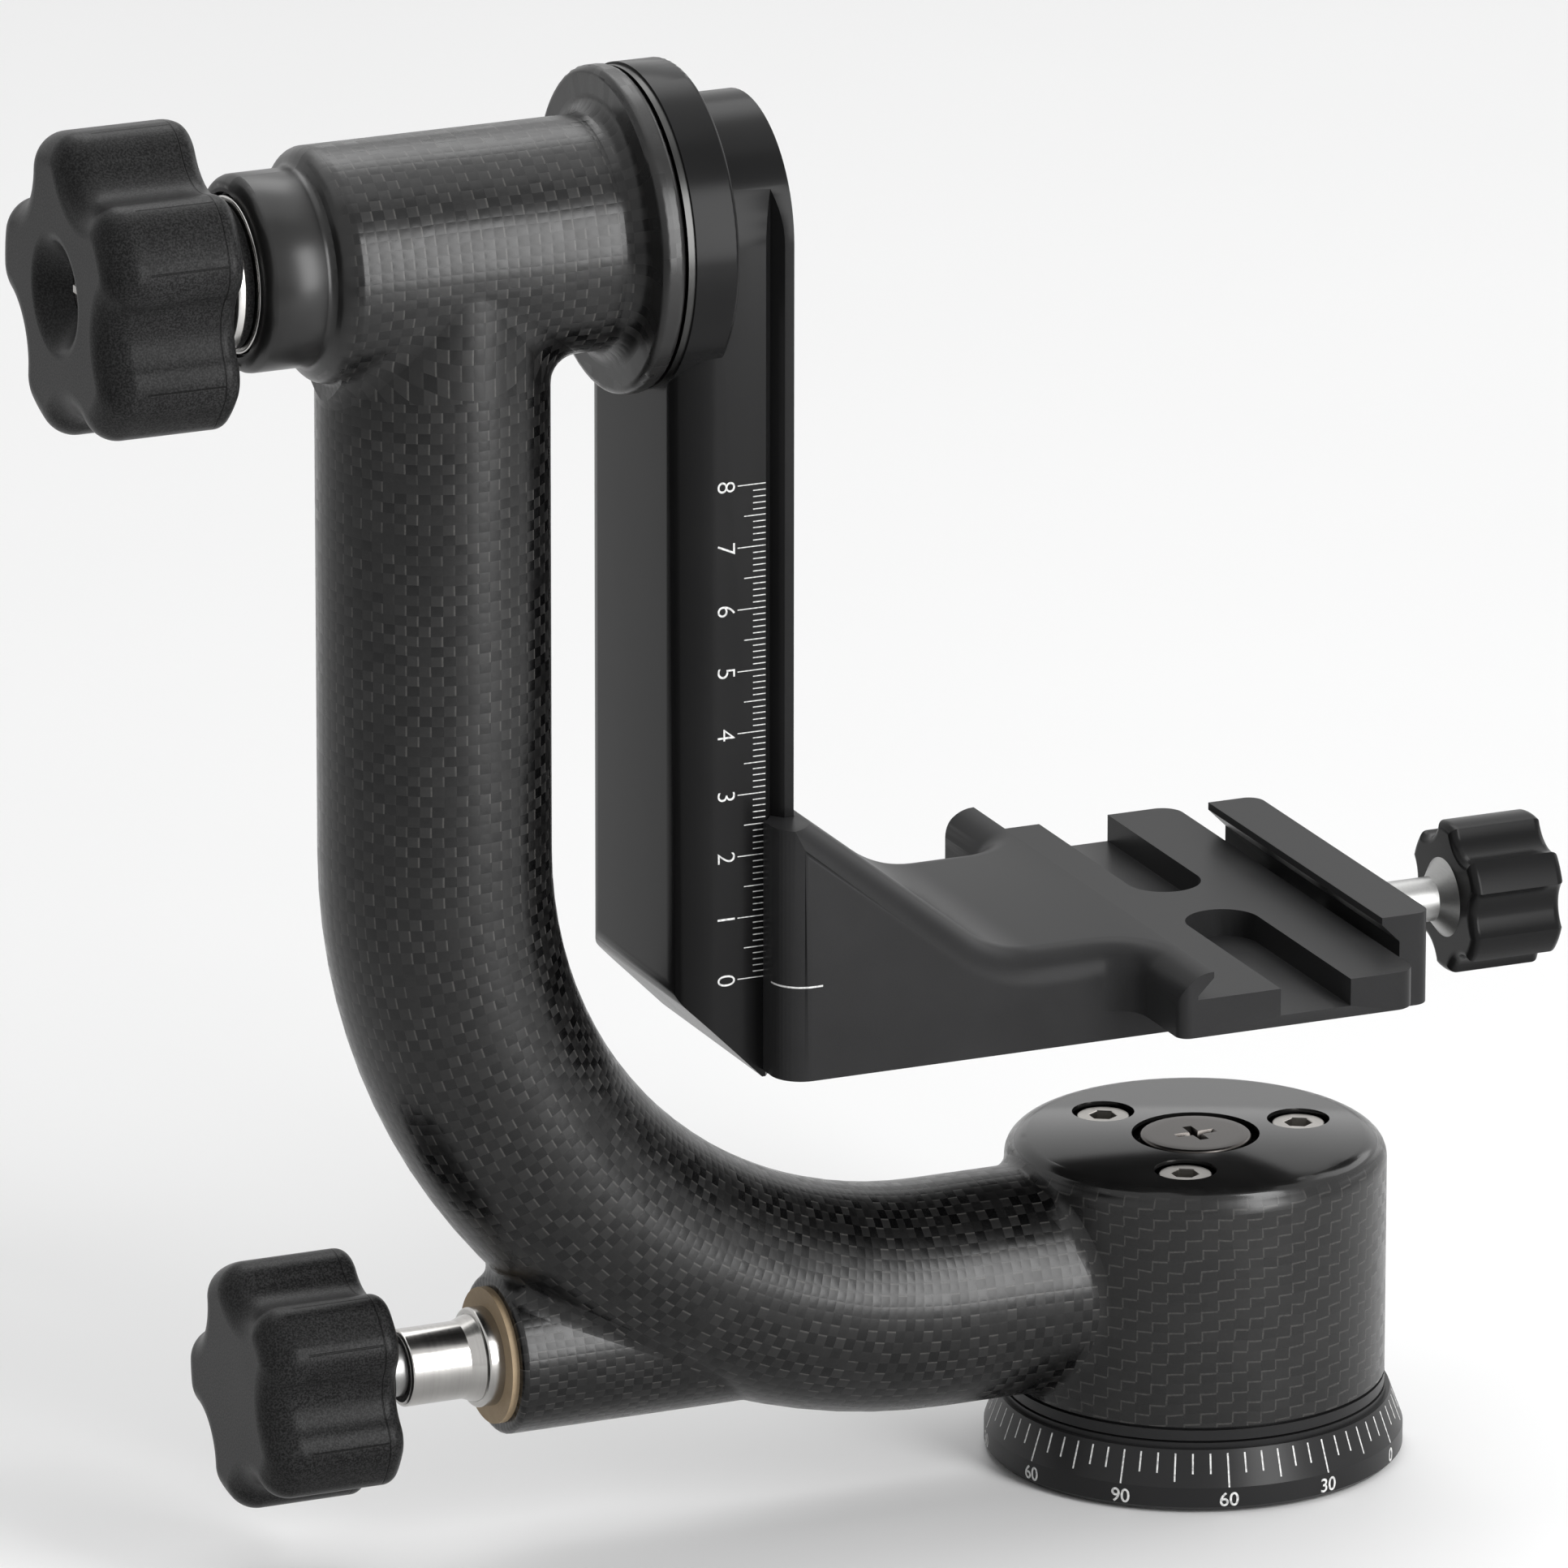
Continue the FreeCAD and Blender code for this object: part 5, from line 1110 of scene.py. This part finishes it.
@dataclass
class Base(Assembly):
    """Graduated base: dial, thread insert, spindle and the bearings on it.

    Ticks start and end at shares of the bevel from its top.
    """

    cap: ScrewForm = ScrewForm(head=8.84, head_height=3.9, shank=4.0, length=20.5,
                               socket=cross(3.3, 0.75), depth=1.6, floor=0.55, edge=0.5)
    screw: ScrewForm = ScrewForm(head=3.9, head_height=1.9, shank=2.0, length=9.9,
                                 socket=hexagon(1.7), depth=1.4, edge=0.2, seat=2.0)
    screw_circle: float = 13.5
    screw_level: float = 0.3
    rim_radius: float = 33.4
    rim_height: float = 3.9
    bevel_radius: float = 31.3
    bevel_top: float = 9.6
    step: int = 5
    tick_width: float = 0.26
    tick_rise: float = 0.03
    zero_turn: float = -45.0
    tick_start: float = 0.10
    long_tick: float = 0.99
    middle_tick: float = 0.84
    short_tick: float = 0.63
    figure_height: float = 2.3
    figure_weight: float = 0.008
    figure_level: float = 2.0

    def build(self) -> None:
        """Dress the nodes and lay the marks on the bevel and rim."""
        self.shop.dress(SATIN_BLACK, "base_dial")
        self.shop.dress(GREY_STEEL, "thread_insert", "pan_spindle", "spindle_washer",
                        "pan_lower_inner_race", "pan_upper_inner_race")
        self.shop.turned("spindle_cap_screw", self.cap.points(), CAP_STEEL, "base", "bright_steel",
                         [(0.0, 0.0, DRUM_TOP)], Facing.UP)
        places = circle_places(4, self.screw_circle, (0.0, 0.0, self.screw_level), Axis.Z)
        self.shop.turned("base_screws", self.screw.points(sides=96), GREY_STEEL, "base", "steel",
                         places, Facing.DOWN)
        self.marks()

    def marks(self) -> None:
        """Scale of the dial: a tick each five degrees and a figure each thirty."""
        marks = Marks()
        degrees = np.arange(0, 360, self.step)
        lasts = np.select([degrees % 30 == 0, degrees % 15 == 0], [self.long_tick, self.middle_tick],
                          self.short_tick)
        turns = np.radians(degrees + self.zero_turn)
        starts = self.on_bevel(turns, np.full_like(turns, self.tick_start))
        sides = np.stack([-np.sin(turns), np.cos(turns), np.zeros_like(turns)], axis=1)
        marks.add(*bars(starts, self.on_bevel(turns, lasts), sides, self.tick_width, self.tick_rise))
        for turn in range(0, 360, 30):
            value = 90 - abs(90 - turn % 180)
            marks.add(*self.figure(str(value), math.radians(self.zero_turn - turn)))
        self.shop.piece("dial_marks", marks.mesh("dial_marks"), INK, "base", "black_aluminium")

    def on_bevel(self, turns: Array, shares: Array) -> Array:
        """Points on the bevel: radius and height run straight from its top to the rim.

        Args:
            turns: direction of each point in radians.
            shares: share of the way to the rim of each.

        Returns:
            Rows of X, Y and Z.
        """
        radius = self.bevel_radius + (self.rim_radius - self.bevel_radius) * shares
        height = self.bevel_top + (self.rim_height - self.bevel_top) * shares
        return np.stack([radius * np.cos(turns), radius * np.sin(turns), height], axis=1)

    def figure(self, text: str, turn: float) -> tuple[Array, Array]:
        """Figures bent round the rim: X becomes an arc's length, Y the height.

        Args:
            text: what to write.
            turn: its direction in radians.

        Returns:
            Points and triangles.
        """
        flat, faces = figures(text, self.figure_height, 2 * self.tick_rise, self.figure_weight)
        radius = self.rim_radius + flat[:, 2]
        angle = turn + flat[:, 0] / self.rim_radius
        points = [radius * np.cos(angle), radius * np.sin(angle), flat[:, 1] + self.figure_level]
        return np.stack(points, axis=1), faces


@dataclass
class Arm(Assembly):
    """Carbon J-arm with its housings, bearings, sleeve and liner."""

    screw: ScrewForm = ScrewForm(head=4.25, head_height=5.0, shank=2.5, length=17.0,
                                 socket=hexagon(2.3), depth=2.6, floor=0.96, edge=0.35)
    screw_circle: float = 18.0
    screw_sink: float = 0.6
    ring_end: float = -162.4

    def build(self) -> None:
        """Dress the arm's nodes."""
        self.shop.dress(CARBON, "arm_shell")
        self.shop.dress(SATIN_BLACK, "drum_collar")
        self.shop.dress(BARE_ALUMINIUM, "pan_housing", "tilt_housing")
        self.shop.dress(SCREW_STEEL, "pan_lower_balls", "pan_upper_balls")
        places = circle_places(3, self.screw_circle, (0.0, 0.0, DRUM_TOP - self.screw_sink), Axis.Z)
        self.shop.turned("drum_screws", self.screw.points(), SCREW_STEEL, "arm", "bright_steel",
                         places, Facing.UP)
        self.shop.dress(GREY_STEEL, "pan_lower_outer_race", "pan_upper_outer_race", "tilt_outer_race",
                        "tilt_balls")
        self.shop.dress(CHROME, "lock_sleeve")
        self.shop.dress(TAN_FIBRE, "lock_liner")
        self.shop.dress(RUBBER, "rod_seal")
        self.shop.dress(BRONZE, "tilt_bush")
        self.shop.turned("thrust_seat_ring", THRUST_RING.points(), THRUST_STEEL, "arm", "bright_steel",
                         [(self.ring_end, 0.0, TILT_HEIGHT)])


@dataclass
class PanLock(Assembly):
    """Brake shoe, rod and lobed knob that lock the pan axis."""

    def build(self) -> None:
        """Dress the lock's nodes."""
        self.shop.dress(BRONZE, "brake_shoe")
        self.shop.dress(GREY_STEEL, "lock_rod")
        self.shop.dress(PAN_NYLON, "pan_knob", "pan_knob_cap")


@dataclass
class TiltLock(Assembly):
    """Thrust ring, cage and lobed knob that lock the tilt axis."""

    screw: ScrewForm = ScrewForm(head=3.8, head_height=4.4, shank=2.5, length=14.4,
                                 socket=cross(2.4, 0.55), depth=1.4, floor=0.5, edge=0.7, dome=0.9)
    screw_face: float = -188.8
    ring_end: float = -165.9

    def build(self) -> None:
        """Dress the lock's nodes."""
        self.shop.turned("thrust_washer", THRUST_RING.points(), THRUST_STEEL, "tilt_press", "bright_steel",
                         [(self.ring_end, 0.0, TILT_HEIGHT)])
        self.shop.turned("tilt_knob_screw", self.screw.points(), THRUST_STEEL, "swing", "steel",
                         [(self.screw_face, 0.0, TILT_HEIGHT)], Facing.LEFT)
        self.shop.dress(RUBBER, "thrust_cage")
        self.shop.dress(TILT_NYLON, "tilt_knob", "tilt_knob_cap")
        self.shop.dress(GREY_STEEL, "tilt_knob_insert")


@dataclass
class SwingArm(Assembly):
    """Swing arm with its shaft, friction ring and height scale."""

    screw: ScrewForm = ScrewForm(head=4.6, head_height=2.1, shank=2.5, length=18.6,
                                 socket=hexagon(2.0), depth=1.8, floor=0.96, edge=0.2, seat=2.5)
    screw_circle: float = 9.0
    screw_face: float = -78.6
    soft_edge: float = 0.5
    face: float = -19.5
    scale_right: float = -83.1
    zero_level: float = 95.0
    length: int = 80
    long_tick: float = 4.7
    middle_tick: float = 3.6
    short_tick: float = 2.1
    tick_width: float = 0.15
    tick_rise: float = 0.02
    figure_height: float = 2.9
    figure_weight: float = -0.012
    figure_gap: float = 1.9

    def build(self) -> None:
        """Dress the nodes and lay the scale on the arm's side."""
        self.shop.softened("swing_arm", GLOSS_BLACK, "swing", "black_aluminium", self.soft_edge)
        self.shop.dress(GREY_STEEL, "tilt_shaft", "tilt_inner_race")
        places = circle_places(4, self.screw_circle, (self.screw_face, 0.0, TILT_HEIGHT), Axis.X)
        self.shop.turned("shaft_screws", self.screw.points(sides=96), GREY_STEEL, "swing", "steel", places)
        self.shop.dress(RING_STEEL, "friction_ring")
        self.scale()

    def scale(self) -> None:
        """Millimetre ticks that end on one line, with a figure at each centimetre."""
        marks = Marks()
        count = np.arange(self.length + 1)
        lengths = np.select([count % 10 == 0, count % 5 == 0], [self.long_tick, self.middle_tick],
                            self.short_tick)
        ends = np.array((self.scale_right, self.face, self.zero_level)) + count[:, None] * Facing.UP.value
        starts = ends - lengths[:, None] * Facing.RIGHT.value
        sides = np.tile(Facing.UP.value, (len(count), 1))
        marks.add(*bars(starts, ends, sides, self.tick_width, self.tick_rise))
        for number in range(self.length // 10 + 1):
            flat, faces = figures(str(number), self.figure_height, 2 * self.tick_rise, self.figure_weight)
            middle = self.scale_right - self.long_tick - self.figure_gap
            level = self.zero_level + 10 * number
            points = [middle + flat[:, 1], self.face - flat[:, 2], level - flat[:, 0]]
            marks.add(np.stack(points, axis=1), faces)
        self.shop.piece("height_scale", marks.mesh("height_scale"), INK, "swing", "black_aluminium")


@dataclass
class Cradle(Assembly):
    """Cradle that slides on the swing arm, with its jaw, lock screw and knob.

    The corner is the sharp one that the index line's bend stands for.
    """

    soft_edge: float = 0.5
    jaw_edge: float = 0.3
    corner: tuple[float, float] = (-83.5, -27.7)
    corner_radius: float = 5.0
    index_level: float = 95.0
    index_run: float = 1.6
    index_width: float = 0.28
    index_rise: float = 0.02
    index_depth: float = 0.04

    def build(self) -> None:
        """Dress the cradle's nodes and lay the index line round its corner."""
        self.shop.softened("cradle", BLASTED_BLACK, "cradle_body", "black_aluminium", self.soft_edge)
        self.shop.softened("cradle_jaw", BLASTED_BLACK, "rail_jaw", "black_aluminium", self.jaw_edge)
        self.shop.dress(GREY_STEEL, "cradle_lock_screw", "guide_pins")
        self.shop.dress(GLOSS_BLACK, "cradle_lock_knob")
        self.index_line()

    def index_line(self) -> None:
        """Line that points at the height scale.

        The point at a share t of the bend is the bend's middle plus its radius along
        (-cos t, -sin t), for t from zero to a quarter turn, and a short straight run follows.
        """
        radius = self.corner_radius + self.index_rise
        middle = np.array(self.corner) + self.corner_radius
        turn = np.linspace(0.0, math.pi / 2, 17)
        bend = middle - radius * np.stack([np.cos(turn), np.sin(turn)], axis=1)
        path = np.concatenate([bend, bend[-1:] + [[self.index_run, 0.0]]])
        out = np.concatenate([path[:-1] - middle, path[-2:-1] - middle]) / radius
        half, deep = self.index_width / 2, -self.index_depth
        section = ((deep, -half), (0.0, -half), (0.0, half), (deep, half), (deep, -half))
        rings = [np.column_stack([path + out * depth, np.full(len(path), self.index_level + rise)])
                 for depth, rise in section]
        mesh = self.shop.mesh("index_line", np.array(rings), grid_faces(len(rings), len(path)))
        self.shop.piece("index_line", mesh, INK, "cradle_body", "black_aluminium")


@dataclass
class QuickRelease(Assembly):
    """Moving jaw of the plate clamp, its screw and its fluted knob."""

    soft_edge: float = 0.4

    def build(self) -> None:
        """Dress the clamp's nodes."""
        self.shop.softened("release_jaw", BLASTED_BLACK, "plate_jaw", "black_aluminium", self.soft_edge)
        self.shop.dress(GREY_STEEL, "release_screw")
        self.shop.dress(GLOSS_BLACK, "release_knob")


# ---------------------------------------------------------------- studio
@dataclass(frozen=True)
class SoftBox:
    """Rectangular studio lamp.

    Attributes:
        name: the lamp's name.
        place: where it hangs, in metres.
        size: its width and height in metres.
        power: its power in watts.
    """

    name: str
    place: Place
    size: tuple[float, float]
    power: float

    def hang(self, target: Vector) -> None:
        """Make the lamp and turn it to the object."""
        lamp = bpy.data.lights.new(self.name, "AREA")
        lamp.shape = "RECTANGLE"
        lamp.size, lamp.size_y = self.size
        lamp.energy = self.power
        holder = new_object(self.name, lamp)
        holder.location = self.place
        holder.rotation_euler = (target - holder.location).to_track_quat("-Z", "Y").to_euler()


@dataclass
class Studio:
    """Camera, pale floor, white surround and soft lamps.

    The camera's lengths are in millimetres, and those of the lamps and the floor in metres.
    """

    lamps: tuple[SoftBox, ...] = (
        SoftBox("key_box", (0.19, -0.60, 0.33), (0.25, 0.58), 4.4),
        SoftBox("top_box", (0.0, 0.35, 1.6), (1.6, 1.6), 9.0),
        SoftBox("right_box", (1.2, 0.3, 0.8), (0.9, 0.9), 4.0),
        SoftBox("back_box", (0.3, 1.1, 1.5), (0.9, 0.9), 6.0))
    azimuth: float = 23.681
    elevation: float = 17.749
    roll: float = 0.065
    distance: float = 2901.72
    focal_pixels: float = 22860.47
    image_pixels: float = 1932.0
    aim: Place = (-50.0, 0.0, 130.0)
    shift_right: float = -19.593
    shift_up: float = -13.063
    sensor: float = 36.0
    clip_end: float = 50.0
    floor_half: float = 4.0
    floor_drop: float = 0.0005
    world_light: float = 0.36

    def build(self) -> None:
        """Set the stage round the head."""
        self.camera()
        self.floor()
        self.surround()
        for lamp in self.lamps:
            lamp.hang(Vector(self.aim) * MM)
        bpy.context.scene.view_settings.view_transform = "Standard"

    def camera(self) -> None:
        """Camera on the line of sight, with its frame's middle on the picture's middle."""
        side, lift = math.radians(self.azimuth), math.radians(self.elevation)
        ahead = Vector((math.sin(side) * math.cos(lift), math.cos(side) * math.cos(lift), -math.sin(lift)))
        right = Vector((math.cos(side), -math.sin(side), 0.0))
        up = right.cross(ahead)
        target = Vector(self.aim) + right * self.shift_right + up * self.shift_up
        lens = bpy.data.cameras.new("view")
        lens.sensor_width = self.sensor
        lens.sensor_fit = "HORIZONTAL"
        lens.lens = self.focal_pixels * self.sensor / self.image_pixels
        lens.clip_end = self.clip_end
        holder = new_object("view", lens)
        turn = Matrix((right, up, -ahead)).transposed().to_4x4()
        place = Matrix.Translation((target - ahead * self.distance) * MM)
        holder.matrix_world = place @ turn @ Matrix.Rotation(math.radians(self.roll), 4, "Z")
        bpy.context.scene.camera = holder

    def floor(self) -> None:
        """Pale floor just under the base, white to the camera except for the shadow."""
        half = self.floor_half
        mesh = bpy.data.meshes.new("floor")
        corners = [(-half, -half, 0.0), (half, -half, 0.0), (half, half, 0.0), (-half, half, 0.0)]
        mesh.from_pydata(corners, [], [(0, 1, 2, 3)])
        mesh.materials.append(PaleFloor().material())
        floor = new_object("floor", mesh)
        floor.location.z = -self.floor_drop

    def surround(self) -> None:
        """World that is white to the camera and to gloss, and a plain level of light elsewhere."""
        world = bpy.data.worlds.new("surround")
        s = Shader(world)
        path = s.node("ShaderNodeLightPath").outputs
        mirrored = s.math("MAXIMUM", path["Is Glossy Ray"], path["Is Transmission Ray"])
        seen = s.math("MAXIMUM", path["Is Camera Ray"], mirrored)
        plain = s.node("ShaderNodeBackground", inputs={"Color": WHITE, "Strength": self.world_light})
        white = s.node("ShaderNodeBackground", inputs={"Color": WHITE})
        mix = s.node("ShaderNodeMixShader", inputs={0: seen, 1: plain.outputs[0], 2: white.outputs[0]})
        s.node("ShaderNodeOutputWorld", inputs={0: mix.outputs[0]})
        bpy.context.scene.world = world


def main() -> None:
    """Load the frame, build each sub-assembly in order and set the studio."""
    logging.basicConfig(level=logging.INFO, format="%(name)s: %(message)s")
    shop = Workshop(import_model())
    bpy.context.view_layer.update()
    for assembly in (Base, Arm, PanLock, TiltLock, SwingArm, Cradle, QuickRelease):
        assembly(shop).build()
        LOG.info("%s done", assembly.__name__)
    Studio().build()


if __name__ == "__main__":
    main()
